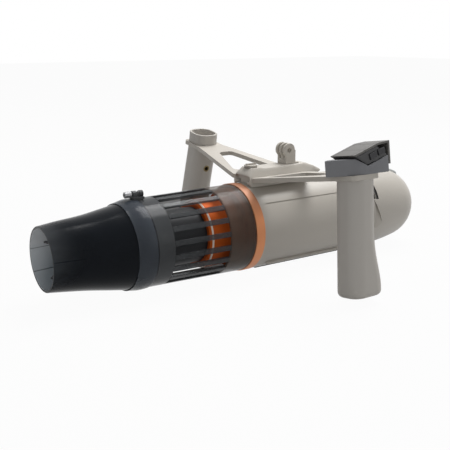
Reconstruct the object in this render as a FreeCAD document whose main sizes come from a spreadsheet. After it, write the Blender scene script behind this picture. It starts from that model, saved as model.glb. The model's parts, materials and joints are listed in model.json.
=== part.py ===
import FreeCAD, Part
import math
import os
import re
import Sketcher

# Paddle board motor: a ducted electric thruster with a two-grip handle bridge on its back.
# Millimetres. +X points to the nose, +Y to port, +Z up. The origin lies on the ground that
# the keel strip stands on, under the middle of the overall length.

V = FreeCAD.Vector
Rotation = FreeCAD.Rotation
Placement = FreeCAD.Placement
ALONG_X = Rotation(V(0, 1, 0), 90)
UPRIGHT = Rotation()
PORT = 1
STARBOARD = -1

# Driving dimensions: name, value, meaning
SIZES = (
    ("ground_gap", 1.0, "ground to the hull, at the keel strip"),
    ("running_gap", 0.4, "clearance round a piece that slides or turns"),
    ("nozzle_length", 96.5, "outlet to the joint with the grille"),
    ("nozzle_exit_radius", 30.3, "outside radius at the outlet"),
    ("nozzle_belly_radius", 43.5, "largest outside radius"),
    ("nozzle_belly_setback", 10.0, "joint to the largest radius"),
    ("nozzle_joint_radius", 43.2, "outside radius at the joint"),
    ("nozzle_wall", 2.4, "wall of the nozzle"),
    ("spigot_length", 12.5, "length of grille that slides into the nozzle"),
    ("spigot_wall", 1.9, "wall of that length"),
    ("band_width", 20.0, "clamp band round the nozzle neck"),
    ("band_thickness", 0.8, "clamp band thickness"),
    ("band_clearance", 0.04, "nozzle to the clamp band"),
    ("clamp_half", 5.0, "half width of the clamp bracket"),
    ("clamp_back", 4.5, "joint back to the rear of the clamp bracket"),
    ("clamp_front", 6.5, "joint forward to the front of the clamp bracket"),
    ("clamp_top", 52.0, "axis to the top of the clamp bracket"),
    ("clamp_screw_rise", 48.8, "axis to the clamp screw"),
    ("clamp_screw_radius", 3.0, "head of the clamp screw"),
    ("clamp_screw_head", 7.4, "length of that head"),
    ("clamp_screw_shank", 1.4, "radius of the screw's shank"),
    ("vane_count", 5, "flow straightening vanes"),
    ("vane_turn", 2.6, "turn of the first vane from the top, degrees"),
    ("vane_thickness", 1.6, "vane thickness"),
    ("vane_length", 50.0, "vane length along the wall of the nozzle"),
    ("vane_exit_gap", 12.5, "outlet to the vanes, at the wall"),
    ("vane_sweep", 26.0, "how far the rear edge of a vane slants in towards the axis"),
    ("tail_cone_radius", 13.0, "radius of the cone that the vanes meet in"),
    ("grille_length", 110.2, "joint to the orange ring"),
    ("grille_rear_radius", 43.4, "outside radius at the joint"),
    ("grille_front_radius", 45.2, "outside radius at the ring"),
    ("grille_wall", 3.0, "wall of the grille"),
    ("slot_count", 20, "intake slots round the grille"),
    ("slot_width", 8.4, "width of one slot"),
    ("slot_length", 63.0, "length of one slot"),
    ("slot_setback", 17.5, "joint to the slots"),
    ("ring_length", 10.2, "visible width of the orange ring"),
    ("ring_radius", 46.0, "outside radius of the orange ring"),
    ("ring_lip", 7.0, "lip of the motor mount inside the grille"),
    ("mount_length", 47.7, "ring to the rear end of the motor mount"),
    ("mount_radius", 35.0, "outside radius of the motor mount"),
    ("mount_wall", 4.0, "wall of the motor mount"),
    ("mount_chamfer", 3.0, "chamfer at its rear end"),
    ("mount_plug", 9.0, "length of mount that plugs into the hull"),
    ("motor_radius", 28.0, "outside radius of the motor can"),
    ("motor_wall", 2.0, "wall of the motor can"),
    ("motor_setback", 16.5, "joint to the rear end of the can"),
    ("motor_seat", 6.0, "length of can held in the mount"),
    ("shaft_radius", 4.0, "motor shaft"),
    ("bearing_radius", 11.0, "outside radius of a shaft bearing"),
    ("bearing_width", 7.0, "width of a shaft bearing"),
    ("seal_radius", 8.0, "outside radius of the shaft seal"),
    ("seal_width", 6.0, "width of the shaft seal"),
    ("magnet_radius", 15.0, "outside radius of the magnet rotor"),
    ("air_gap", 1.0, "magnet rotor to stator"),
    ("winding_length", 4.5, "end turns of the windings beyond the stator"),
    ("propeller_radius", 37.4, "blade tip radius"),
    ("propeller_hub_radius", 13.0, "hub radius"),
    ("propeller_hub_length", 20.0, "hub length"),
    ("propeller_gap", 4.0, "hub to the motor can"),
    ("propeller_pitch", 72.0, "advance in one turn"),
    ("blade_count", 4, "blades"),
    ("blade_chord", 25.0, "blade width"),
    ("blade_thickness", 3.0, "blade thickness at its middle"),
    ("nut_radius", 7.0, "propeller nut, across its corners"),
    ("nut_length", 6.0, "propeller nut length"),
    ("hull_length", 154.0, "ring to the nose joint"),
    ("hull_radius", 45.5, "outside radius of the hull"),
    ("hull_wall", 3.0, "wall of the hull"),
    ("groove_width", 1.2, "side groove of the hull"),
    ("groove_depth", 0.8, "side groove depth"),
    ("groove_rise", 28.7, "groove above the axis"),
    ("nose_length", 88.0, "nose joint to the tip"),
    ("nose_shoulder_radius", 300.0, "gentle arc that leads into the tip"),
    ("nose_tip_radius", 41.0, "round of the tip"),
    ("nose_wall", 7.0, "wall of the nose"),
    ("nose_plug", 14.0, "length of nose that plugs into the hull"),
    ("seam", 0.4, "open seam between hull and nose"),
    ("seal_ring_width", 2.4, "width of a sealing ring"),
    ("seal_ring_depth", 1.6, "depth of a sealing ring"),
    ("latch_angle", 33.0, "latch above the side of the nose, degrees"),
    ("latch_slot_width", 3.0, "latch slot along the nose"),
    ("latch_slot_height", 16.0, "latch slot round the nose"),
    ("latch_slot_depth", 5.6, "latch slot depth"),
    ("latch_travel", 1.5, "inward travel of the latch"),
    ("latch_thickness", 2.4, "latch tab, from its face to its back"),
    ("scoop_depth", 4.2, "finger scoop depth at its rear edge"),
    ("scoop_length", 17.0, "finger scoop along the nose"),
    ("button_tilt", 32.0, "power button ahead of the top of the tip round, degrees"),
    ("button_radius", 6.5, "power button"),
    ("button_height", 2.6, "power button above the nose"),
    ("button_seat", 3.0, "power button below the nose surface"),
    ("button_travel", 1.0, "power button travel"),
    ("cell_radius", 10.6, "battery cell"),
    ("cell_circle", 22.6, "circle that the cells stand on"),
    ("cell_count", 6, "cells in one row"),
    ("cell_gap", 4.0, "between the two rows, filled by a holder"),
    ("battery_radius", 38.0, "outside radius of the battery sleeve"),
    ("battery_wall", 1.6, "wall of the battery sleeve"),
    ("battery_start", 37.0, "ring to the rear of the battery sleeve"),
    ("cell_reach", 39.4, "nose joint to the front end of the cells"),
    ("keel_length", 118.0, "flat keel strip"),
    ("keel_width", 18.0, "keel strip width"),
    ("keel_setback", 14.0, "ring to the keel strip"),
    ("skid_angle", 40.0, "skid ribs from the bottom of the hull, degrees"),
    ("skid_height", 2.4, "skid rib above the hull"),
    ("skid_width", 3.2, "skid rib width"),
    ("skid_length", 124.0, "skid rib length"),
    ("skid_setback", 8.0, "ring to the skid ribs"),
    ("rail_length", 72.0, "rail that carries the handle bridge"),
    ("rail_setback", 6.0, "ring to the rail"),
    ("rail_neck", 14.0, "width of the rail's neck"),
    ("rail_head", 24.0, "width of the rail's head"),
    ("rail_under", 49.0, "axis to the underside of the rail's head"),
    ("rail_top", 53.0, "axis to the top of the rail"),
    ("saddle_setback", 2.0, "ring to the saddle"),
    ("saddle_length", 106.0, "length of the saddle"),
    ("saddle_top", 61.5, "axis to the top of the saddle"),
    ("saddle_foot", 16.0, "half width of the saddle where it meets the hull"),
    ("saddle_knee", 47.0, "axis to the knee of the saddle's side"),
    ("saddle_waist", 12.5, "half width of the saddle at its top"),
    ("tongue_length", 27.0, "tapered front of the saddle"),
    ("tongue_top", 51.0, "axis to the top of the tongue's end"),
    ("tongue_half", 3.5, "half width of the tongue's end"),
    ("tongue_thickness", 2.4, "thickness of the tongue's end"),
    ("hood_height", 7.0, "hood over the rear opening of the rail channel"),
    ("arm_thickness", 4.6, "arm plate"),
    ("arm_rise", 71.0, "axis to the top of the arm plate at the grips"),
    ("arm_root_rise", 52.5, "axis to the top of the arm plate at the saddle"),
    ("arm_root", 14.0, "hull plane of symmetry to the root of the arm"),
    ("arm_root_rear", 3.0, "ring to the rear corner of the root"),
    ("arm_root_front", 79.5, "ring to the front corner of the root"),
    ("arm_tip_half", 16.5, "half width of the plate at the grip, along the hull"),
    ("arm_bar", 13.5, "width of the front bar beside the opening"),
    ("arm_rear_bar", 9.0, "width of the rear bar at its root"),
    ("arm_rear_bar_tip", 18.0, "width of the rear bar at the grip's end of the opening"),
    ("arm_window_root", 14.0, "root of the arm to the opening"),
    ("arm_window_end", 42.5, "grip centre to the opening"),
    ("arm_corner", 5.0, "corner round of the opening"),
    ("grip_setback", 37.5, "ring to the grip centre"),
    ("grip_reach", 130.0, "hull plane of symmetry to the grip centre, at the plate"),
    ("grip_length", 112.5, "top of the plate to the foot of a grip"),
    ("grip_rake", 9.5, "how far the foot of a grip stands further back"),
    ("grip_width", 29.5, "grip along the hull"),
    ("grip_depth", 32.5, "grip across the hull"),
    ("grip_round", 12.5, "corner round of a grip's section"),
    ("grip_flare", 9.0, "forward flare at the foot of a grip"),
    ("cup_height", 12.0, "open collar on the port grip"),
    ("cup_wall", 2.4, "wall of the collar"),
    ("cup_depth", 10.0, "inside depth of the collar"),
    ("insert_back", 2.5, "grip centre back to the insert"),
    ("insert_bore", 2.6, "radius of the thread in the port grip"),
    ("insert_radius", 3.8, "outside radius of the brass insert"),
    ("insert_length", 9.0, "length of the brass insert"),
    ("insert_drop", 28.5, "plate to the insert"),
    ("camera_setback", 59.5, "ring to the camera pivot"),
    ("camera_rise", 76.0, "axis to the camera pivot"),
    ("camera_head", 7.5, "radius of the camera prongs"),
    ("camera_prong", 3.0, "thickness of a prong and of the gap between two"),
    ("camera_bore", 2.5, "radius of the pivot hole"),
    ("camera_web", 4.5, "solid foot under the prongs"),
    ("camera_stem", 4.5, "pivot back to the rear of the foot"),
    ("camera_stem_front", 8.5, "pivot forward to the front of the foot"),
    ("knob_setback", 14.0, "ring to the lock knob"),
    ("knob_radius", 7.0, "lock knob"),
    ("knob_height", 2.0, "lock knob disc"),
    ("knob_grip", 1.6, "raised rib of the lock knob"),
    ("knob_stem", 3.0, "stem of the lock knob"),
    ("cradle_rim", 15.0, "plate to the rear rim of the cradle"),
    ("cradle_back", 28.0, "grip centre back to the rear corner of the cradle"),
    ("cradle_front", 27.3, "grip centre forward to the front wall of the cradle"),
    ("cradle_half", 16.5, "half width of the cradle"),
    ("cradle_cut", 15.5, "length of the long rear facet along the hull"),
    ("cradle_nick", 10.0, "length of the short rear facet along the hull"),
    ("cradle_nick_in", 4.6, "how far the short facet leans in"),
    ("cradle_cut_in", 20.5, "how far the long facet leans in"),
    ("remote_width", 32.0, "remote across the hull"),
    ("remote_long", 27.0, "remote along its sloping top"),
    ("remote_deep", 14.2, "remote across its thickness"),
    ("remote_slope", 16.5, "slope of the remote's top, degrees"),
    ("remote_end", 33.0, "slope of its two ends, degrees"),
    ("remote_ahead", 1.0, "grip centre forward to the low corner of the remote"),
    ("remote_rise", 8.0, "plate to the low corner of the remote"),
    ("cover_thickness", 2.2, "grey cover on the remote"),
    ("visor_ahead", 16.5, "grip centre forward to the bend of the cover"),
    ("visor_slope", 4.8, "slope of the cover ahead of its bend, degrees"),
    ("lip_thickness", 2.4, "front plate of the cover"),
    ("lip_gap", 0.7, "cradle to the front plate"),
    ("lip_drop", 21.5, "front plate from its top to its foot"),
    ("key_length", 8.5, "side key of the remote"),
    ("key_height", 5.0, "side key height"),
    ("key_proud", 1.2, "side key above the remote"),
    ("key_root", 1.6, "side key inside the remote"),
    ("key_inset", 5.0, "low corner of the remote to the first key"),
    ("key_apart", 2.5, "between the two keys"),
    ("key_travel", 0.8, "side key travel"),
)

# Places worked out from the driving dimensions, all in the part's own frame
PLACES = (
    ("axis_height", "hull_radius + ground_gap"),
    ("overall_length", "nozzle_length + grille_length + ring_length + hull_length + nose_length"),
    ("exit_x", "-overall_length / 2"),
    ("joint_x", "exit_x + nozzle_length"),
    ("ring_x", "joint_x + grille_length"),
    ("hull_x", "ring_x + ring_length"),
    ("nose_x", "hull_x + hull_length"),
    ("tip_x", "nose_x + nose_length"),
    ("hull_bore", "hull_radius - hull_wall"),
    ("grille_bore", "grille_rear_radius - grille_wall"),
    ("spigot_radius", "nozzle_joint_radius - nozzle_wall - running_gap"),
    ("spigot_bore", "spigot_radius - spigot_wall"),
    ("mount_x", "ring_x - mount_length"),
    ("mount_bore", "mount_radius - mount_wall"),
    ("motor_x", "joint_x + motor_setback"),
    ("motor_end", "mount_x + motor_seat"),
    ("motor_bore", "motor_radius - motor_wall"),
    ("rear_bearing_x", "motor_x + seal_width"),
    ("front_bearing_x", "motor_end - bearing_width"),
    ("stator_x", "rear_bearing_x + bearing_width + winding_length + running_gap"),
    ("stator_end", "front_bearing_x - winding_length - running_gap"),
    ("propeller_end", "motor_x - propeller_gap"),
    ("propeller_x", "propeller_end - propeller_hub_length"),
    ("nut_x", "propeller_x - nut_length"),
    ("battery_x", "hull_x + battery_start"),
    ("cells_x", "battery_x + 3 * cell_gap"),
    ("cells_end", "nose_x + cell_reach"),
    ("cell_length", "(cells_end - cells_x - cell_gap) / 2"),
    ("deck_z", "axis_height + saddle_top"),
    ("saddle_x", "hull_x + saddle_setback"),
    ("saddle_end", "saddle_x + saddle_length"),
    ("rail_x", "hull_x + rail_setback"),
    ("grip_x", "hull_x + grip_setback"),
    ("plate_z", "axis_height + arm_rise"),
    ("plate_root_z", "axis_height + arm_root_rise"),
    ("arm_span", "sqrt((grip_reach - arm_root)^2 + (arm_rise - arm_root_rise)^2)"),
    ("arm_slope", "atan((arm_rise - arm_root_rise) / (grip_reach - arm_root))"),
    ("camera_x", "hull_x + camera_setback"),
    ("knob_x", "hull_x + knob_setback"),
)

doc = FreeCAD.newDocument("paddle_board_motor")
sizes = doc.addObject("Spreadsheet::Sheet", "sizes")
places = doc.addObject("Spreadsheet::Sheet", "places")
SIZE_NAMES = [row[0] for row in SIZES]
PLACE_NAMES = [row[0] for row in PLACES]


def full(text):
    """An expression with the name of its sheet before each alias."""
    def one(match):
        word = match.group(0)
        if word in SIZE_NAMES:
            return "sizes." + word
        if word in PLACE_NAMES:
            return "places." + word
        return word
    return re.sub(r"[A-Za-z_]+", one, text)


def fill_sheets():
    for row, (name, value, meaning) in enumerate(SIZES, start=1):
        sizes.set("A%d" % row, name)
        sizes.set("B%d" % row, str(value))
        sizes.set("C%d" % row, meaning)
        sizes.setAlias("B%d" % row, name)
    doc.recompute()
    for row, (name, formula) in enumerate(PLACES, start=1):
        places.set("A%d" % row, name)
        places.setAlias("B%d" % row, name)
        places.set("B%d" % row, "=" + full(formula).replace("places.", ""))
    doc.recompute()


class Numbers:
    """The two sheets as plain numbers, for shapes that code works out."""

    def __getattr__(self, name):
        value = (sizes if name in SIZE_NAMES else places).get(name)
        return float(getattr(value, "Value", value))


fill_sheets()
at = Numbers()
nodes = []
saddle_blanks = []


def node(label, thing):
    """Name an object as one of the product's pieces."""
    thing.Label = label
    nodes.append(thing)
    return thing


def place(thing, x="0", y="0", z="0", turn=None):
    """Bind an object's place to the sheets, in a fixed turn."""
    if turn is not None:
        thing.Placement = Placement(V(), turn)
    for axis, text in zip("xyz", (x, y, z)):
        thing.setExpression(".Placement.Base." + axis, full(text))
    return thing


def bound(kind, name, **texts):
    """A primitive whose sizes are bound to the sheets."""
    thing = doc.addObject(kind, name)
    for key, text in texts.items():
        thing.setExpression(key, full(text))
    return thing


def rod(name, radius, length, x, y="0", z="axis_height", turn=ALONG_X):
    thing = bound("Part::Cylinder", name, Radius=radius, Height=length)
    return place(thing, x, y, z, turn)


def block(name, length, width, height, x, y, z):
    thing = bound("Part::Box", name, Length=length, Width=width, Height=height)
    return place(thing, x, y, z)


def cut(name, base, tool):
    thing = doc.addObject("Part::Cut", name)
    thing.Base = base
    thing.Tool = tool
    return thing


def fuse(name, *things):
    thing = doc.addObject("Part::MultiFuse", name)
    thing.Shapes = list(things)
    return thing


def common(name, *things):
    thing = doc.addObject("Part::MultiCommon", name)
    thing.Shapes = list(things)
    return thing


def group(name, *things):
    thing = doc.addObject("Part::Compound", name)
    thing.Links = list(things)
    return thing


def made(name, shape):
    """A piece whose shape code works out from the sheets."""
    thing = doc.addObject("Part::Feature", name)
    thing.Shape = shape
    return thing


def origin_part(body, role):
    return [one for one in body.Origin.OriginFeatures if one.Role == role][0]


def outline(body, name, plane, corners):
    """A closed sketch of straight lines, with each corner bound to the sheets."""
    sketch = body.newObject("Sketcher::SketchObject", name)
    sketch.AttachmentSupport = [(origin_part(body, plane), "")]
    sketch.MapMode = "FlatFace"
    count = len(corners)
    start = [V(math.cos(math.tau * i / count), -math.sin(math.tau * i / count), 0)
             for i in range(count)]
    for i in range(count):
        sketch.addGeometry(Part.LineSegment(start[i], start[(i + 1) % count]))
    for i in range(count):
        sketch.addConstraint(Sketcher.Constraint("Coincident", i, 2, (i + 1) % count, 1))
    for i, corner in enumerate(corners):
        for kind, text in zip(("DistanceX", "DistanceY"), corner):
            index = sketch.addConstraint(Sketcher.Constraint(kind, -1, 1, i, 1, 1.0))
            sketch.setExpression("Constraints[%d]" % index, full(text))
    return sketch


def turned(name, corners, z="axis_height"):
    """A body turned round an axis along X from corners given as x and radius."""
    body = doc.addObject("PartDesign::Body", name)
    sketch = outline(body, name + "_profile", "XZ_Plane", corners)
    spin = body.newObject("PartDesign::Revolution", name + "_turn")
    spin.Profile = sketch
    spin.ReferenceAxis = (sketch, ["H_Axis"])
    spin.Angle = 360
    return place(body, z=z)


def padded(name, plane, corners, length, both_ways=True):
    """A body padded from an outline, equally to both sides of its plane or to one."""
    body = doc.addObject("PartDesign::Body", name)
    sketch = outline(body, name + "_outline", plane, corners)
    pad = body.newObject("PartDesign::Pad", name + "_pad")
    pad.Profile = sketch
    pad.setExpression("Length", full(length))
    pad.Midplane = both_ways
    return body


def rounded(body, name, radius, chosen):
    """Fillet the chosen edges of a body's last feature."""
    doc.recompute()
    last = body.Tip
    names = ["Edge%d" % (i + 1) for i, edge in enumerate(last.Shape.Edges) if chosen(edge)]
    fillet = body.newObject("PartDesign::Fillet", name)
    fillet.Base = (last, names)
    fillet.setExpression("Radius", full(radius))
    return fillet


def upright(edge):
    """True for a straight edge square to the pad's plane."""
    return len(edge.Vertexes) == 2 and abs(edge.tangentAt(edge.FirstParameter).z) > 0.99


def ring(name, inner, outer, x, length):
    """A plain turned ring."""
    end = "%s + %s" % (x, length)
    return turned(name, [(x, inner), (x, outer), (end, outer), (end, inner)])


def box_corners(x, length, low, high):
    end = "%s + %s" % (x, length)
    return [(x, low), (x, high), (end, high), (end, low)]


def at_axis(shape):
    """Lift a shape that was made round the X axis to the axis of the hull."""
    shape.translate(V(0, 0, at.axis_height))
    return shape


def revolve(edges):
    """A solid turned round the X axis, with its faces pointing outwards."""
    face = Part.Face(Part.Wire(Part.sortEdges(edges)[0]))
    shape = face.revolve(V(), V(1, 0, 0), 360)
    if shape.Volume < 0:
        shape.reverse()
    return shape


def radial(angle, shape):
    """Turn a shape that was made on top of the hull to an angle from there, towards port."""
    shape.rotate(V(), V(1, 0, 0), -angle)
    return shape


# Hull, with its keel strip, skid ribs and rail


def main_housing():
    shell = ring("hull_shell", "hull_bore", "hull_radius", "hull_x", "hull_length - seam")
    reach = 2 * at.hull_radius
    slab = Part.makeBox(at.hull_length, 2 * reach, at.groove_width,
                        V(at.hull_x + at.skid_setback, -reach, at.groove_rise))
    skin = Part.makeCylinder(reach, at.overall_length, V(at.exit_x, 0, 0), V(1, 0, 0))
    core_radius = at.hull_radius - at.groove_depth
    core = Part.makeCylinder(core_radius, at.overall_length, V(at.exit_x, 0, 0), V(1, 0, 0))
    grooves = made("side_grooves", at_axis(slab.common(skin.cut(core))))
    return node("main_housing", cut("hull", shell, grooves))


def hull_solid(name):
    """The outside of the hull as a solid, to seat pieces on."""
    return rod(name, "hull_radius", "hull_length", "hull_x")


def keel_strip():
    low = block("keel_blank", "keel_length", "keel_width", "axis_height / 2",
                "hull_x + keel_setback", "-keel_width / 2", "0")
    return node("keel_strip", cut("keel", low, hull_solid("keel_seat")))


def skid_ribs():
    ribs = []
    for name, side in (("port_rib", PORT), ("starboard_rib", STARBOARD)):
        top = "hull_radius + skid_height"
        low = "hull_radius - skid_height"
        start = "hull_x + skid_setback"
        corners = [(start, low), (start + " + 3 * skid_height", top),
                   (start + " + skid_length - 3 * skid_height", top),
                   (start + " + skid_length", low)]
        body = padded(name, "XZ_Plane", corners, "skid_width")
        body.Placement = Placement(V(), Rotation(V(1, 0, 0), 0))
        body.setExpression(".Placement.Rotation.Angle", full("180 - %d * skid_angle" % side))
        body.setExpression(".Placement.Base.z", full("axis_height"))
        ribs.append(body)
    both = fuse("rib_pair", *ribs)
    return node("skid_ribs", cut("ribs", both, hull_solid("rib_seat")))


def tee(name, length, x, grow, foot):
    """The T section of the rail, grown all round by a clearance."""
    neck = "(rail_neck / 2 + %s)" % grow
    head = "(rail_head / 2 + %s)" % grow
    under = "(rail_under - %s)" % grow
    top = "(rail_top + %s)" % grow
    corners = [("-" + neck, foot), ("-" + neck, under), ("-" + head, under), ("-" + head, top),
               (head, top), (head, under), (neck, under), (neck, foot)]
    body = padded(name, "YZ_Plane", corners, length, both_ways=False)
    return place(body, x=x, z="axis_height")


def bridge_rail():
    blank = tee("rail_blank", "rail_length", "rail_x", "0", "hull_bore")
    return node("bridge_rail", cut("rail", blank, hull_solid("rail_seat")))


# Orange ring and motor mount, which close the rear of the hull


def coupling_ring():
    return node("coupling_ring", ring("orange_ring", "hull_bore", "ring_radius",
                                      "ring_x", "ring_length"))


def motor_mount():
    web = "mount_x + motor_seat + mount_wall"
    seal_x = "hull_x + seal_ring_width"
    lip_radius = "grille_front_radius - grille_wall - 2 * running_gap"
    corners = [
        ("mount_x", "motor_radius"),
        ("mount_x", "mount_radius - mount_chamfer"),
        ("mount_x + mount_chamfer", "mount_radius"),
        ("ring_x - ring_lip", "mount_radius"),
        ("ring_x - ring_lip", lip_radius),
        ("ring_x", lip_radius),
        ("ring_x", "hull_bore"),
        (seal_x, "hull_bore"),
        (seal_x, "hull_bore - seal_ring_depth"),
        (seal_x + " + seal_ring_width", "hull_bore - seal_ring_depth"),
        (seal_x + " + seal_ring_width", "hull_bore"),
        ("hull_x + mount_plug", "hull_bore"),
        ("hull_x + mount_plug", "mount_bore"),
        (web, "mount_bore"),
        (web, "shaft_radius"),
        ("mount_x + motor_seat", "shaft_radius"),
        ("mount_x + motor_seat", "motor_radius"),
    ]
    return node("motor_mount", turned("mount", corners))


def housing_seal():
    return node("housing_seal", ring("rear_seal", "hull_bore - seal_ring_depth", "hull_bore",
                                     "hull_x + seal_ring_width", "seal_ring_width"))


# Intake grille


def intake_grille():
    bore_front = "grille_front_radius - grille_wall"
    corners = [
        ("joint_x - spigot_length", "spigot_bore"),
        ("joint_x - spigot_length", "spigot_radius"),
        ("joint_x", "spigot_radius"),
        ("joint_x", "grille_rear_radius"),
        ("ring_x", "grille_front_radius"),
        ("ring_x", bore_front),
        ("joint_x + slot_setback", "grille_bore"),
        ("joint_x + grille_wall", "spigot_bore"),
    ]
    body = turned("grille", corners)
    start = "joint_x + slot_setback"
    sketch = outline(body, "slot_outline", "XY_Plane",
                     box_corners(start, "slot_length", "-slot_width / 2", "slot_width / 2"))
    slot = body.newObject("PartDesign::Pocket", "slot")
    slot.Profile = sketch
    slot.setExpression("Length", full("2 * grille_front_radius"))
    slot.Reversed = True
    doc.recompute()
    slots = body.newObject("PartDesign::PolarPattern", "slots")
    slots.Originals = [slot]
    slots.Axis = (origin_part(body, "X_Axis"), [""])
    slots.Angle = 360
    slots.setExpression("Occurrences", full("slot_count"))
    body.Tip = slots
    slots_end = start + " + slot_length"
    node("intake_collar", slab("collar_part", body, "joint_x - spigot_length", start))
    node("intake_bars", slab("bars_part", body, start, slots_end))
    node("intake_hood", slab("hood_part", body, slots_end, "ring_x"))


def slab(name, whole, start, end):
    """The length of a round piece between two stations along the axis."""
    width = "3 * hull_radius"
    span = block(name + "_span", "(%s) - (%s)" % (end, start), width, width, start,
                 "-1.5 * hull_radius", "axis_height - 1.5 * hull_radius")
    return common(name, whole, span)


# Motor


def motor_can():
    wall_end = "motor_x + motor_wall * 2"
    boss = "bearing_radius + motor_wall"
    bearing_end = "rear_bearing_x + bearing_width"
    corners = [
        ("motor_x", "seal_radius"),
        ("motor_x", "motor_radius - mount_chamfer"),
        ("motor_x + mount_chamfer", "motor_radius"),
        ("motor_end", "motor_radius"),
        ("motor_end", "motor_bore"),
        (wall_end, "motor_bore"),
        (wall_end, boss),
        (bearing_end, boss),
        (bearing_end, "bearing_radius"),
        ("rear_bearing_x", "bearing_radius"),
        ("rear_bearing_x", "seal_radius"),
    ]
    return node("motor_can", turned("can", corners))


def motor_inside():
    journal = "shaft_radius + 0.25 * running_gap"
    node("shaft_seal", ring("seal", journal, "seal_radius", "motor_x", "seal_width"))
    node("rear_bearing", ring("bearing_a", journal, "bearing_radius",
                              "rear_bearing_x", "bearing_width"))
    node("front_bearing", ring("bearing_b", journal, "bearing_radius",
                               "front_bearing_x", "bearing_width"))
    node("motor_end_plate", ring("end_plate", "bearing_radius", "motor_bore",
                                 "front_bearing_x", "bearing_width"))
    core_bore = "magnet_radius + air_gap"
    node("stator_core", ring("stator", core_bore, "motor_bore", "stator_x",
                             "stator_end - stator_x"))
    turns = []
    for name, x in (("turns_a", "stator_x - winding_length"), ("turns_b", "stator_end")):
        turns.append(ring(name, core_bore + " + motor_wall", "motor_bore - motor_wall",
                          x, "winding_length"))
    node("stator_windings", group("windings", *turns))


def rotor_inside():
    start = "nut_x - motor_wall"
    node("motor_shaft", rod("shaft", "shaft_radius", "front_bearing_x + bearing_width - (%s)" % start,
                            start))
    node("magnet_rotor", ring("magnets", "shaft_radius", "magnet_radius", "stator_x",
                              "stator_end - stator_x"))


# Propeller


def blade_section(radius):
    """A lens section across the blade, laid flat at its radius and turned to its pitch."""
    half = at.blade_chord / 2
    bulge = at.blade_thickness / 2 * (1 - 0.5 * radius / at.propeller_radius)
    tips = (V(-half, 0, 0), V(half, 0, 0))
    upper = Part.Arc(tips[0], V(0, bulge, 0), tips[1]).toShape()
    lower = Part.Arc(tips[1], V(0, -bulge, 0), tips[0]).toShape()
    wire = Part.Wire([upper, lower])
    pitch = math.degrees(math.atan2(at.propeller_pitch, math.tau * radius))
    wire.rotate(V(), V(0, 0, 1), 90 - pitch)
    wire.translate(V(0, 0, radius))
    return wire


def propeller():
    stations = 4
    inner = at.propeller_hub_radius - at.blade_thickness
    step = (at.propeller_radius - inner) / (stations - 1)
    blade = Part.makeLoft([blade_section(inner + step * i) for i in range(stations)], True)
    length = at.propeller_hub_length
    hub = Part.makeCylinder(at.propeller_hub_radius, length, V(-length / 2, 0, 0), V(1, 0, 0))
    blades = []
    for i in range(int(at.blade_count)):
        one = blade.copy()
        one.rotate(V(), V(1, 0, 0), 360 * i / at.blade_count)
        blades.append(one)
    disc = Part.makeCylinder(at.propeller_radius, 2 * length, V(-length, 0, 0), V(1, 0, 0))
    bore = Part.makeCylinder(at.shaft_radius, 2 * length, V(-length, 0, 0), V(1, 0, 0))
    shape = hub.fuse(blades).common(disc).cut(bore)
    shape.translate(V(at.propeller_x + length / 2, 0, 0))
    node("propeller", made("screw", at_axis(shape)))


def propeller_nut():
    blank = bound("Part::Prism", "nut_blank", Circumradius="nut_radius", Height="nut_length")
    blank.Polygon = 6
    place(blank, x="nut_x", z="axis_height", turn=ALONG_X)
    bore = rod("nut_bore", "shaft_radius", "nut_length", "nut_x")
    node("propeller_nut", cut("nut", blank, bore))


# Nozzle, with the vanes that straighten the flow and the clamp that holds it


def nozzle_curve(inset):
    """The long side of the nozzle as one curve, moved towards the axis by the inset."""
    length = at.nozzle_length - at.nozzle_belly_setback
    rise = at.nozzle_belly_radius - at.nozzle_exit_radius
    exit_r = at.nozzle_exit_radius - inset
    belly = at.exit_x + length
    points = [V(at.exit_x, 0, exit_r),
              V(at.exit_x + 0.40 * length, 0, exit_r + 0.34 * rise),
              V(at.exit_x + 0.72 * length, 0, exit_r + 0.70 * rise),
              V(belly, 0, at.nozzle_belly_radius - inset),
              V(at.joint_x, 0, at.nozzle_joint_radius - inset)]
    curve = Part.BSplineCurve()
    curve.interpolate(points)
    return curve.toShape(), points[0], points[-1]


def nozzle_solid(inset):
    side, start, end = nozzle_curve(inset)
    foot = V(start.x, 0, 0)
    head = V(end.x, 0, 0)
    lines = [Part.makeLine(start, foot), Part.makeLine(foot, head), Part.makeLine(head, end)]
    return revolve([side] + lines)


def nozzle():
    outer = nozzle_solid(0)
    inner = nozzle_solid(at.nozzle_wall)
    socket = Part.makeCylinder(at.nozzle_joint_radius - at.nozzle_wall, at.spigot_length + 2,
                               V(at.joint_x - at.spigot_length - 1, 0, 0), V(1, 0, 0))
    return node("nozzle", made("nozzle_shell", at_axis(outer.cut(inner).cut(socket))))


def flow_straightener():
    start = at.exit_x + at.vane_exit_gap
    core_x = start + at.vane_sweep
    core_length = at.nut_x - at.propeller_gap - core_x
    core_r = at.tail_cone_radius
    cone = Part.makeCone(core_r / 3, core_r, core_length, V(core_x, 0, 0), V(1, 0, 0))
    wall = at.nozzle_belly_radius
    front = start + at.vane_length
    outer_x = start + at.vane_sweep * (1 - wall / at.nozzle_exit_radius)
    side = Part.makePolygon([V(core_x, 0, 0), V(outer_x, 0, wall), V(front, 0, wall),
                             V(front, 0, 0), V(core_x, 0, 0)])
    vane = Part.Face(side).extrude(V(0, at.vane_thickness, 0))
    vane.translate(V(0, -at.vane_thickness / 2, 0))
    vanes = [radial(at.vane_turn + 360 * i / at.vane_count, vane.copy())
             for i in range(int(at.vane_count))]
    shape = cone.fuse(vanes).common(nozzle_solid(at.nozzle_wall))
    return node("flow_straightener", made("vanes", at_axis(shape)))


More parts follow.
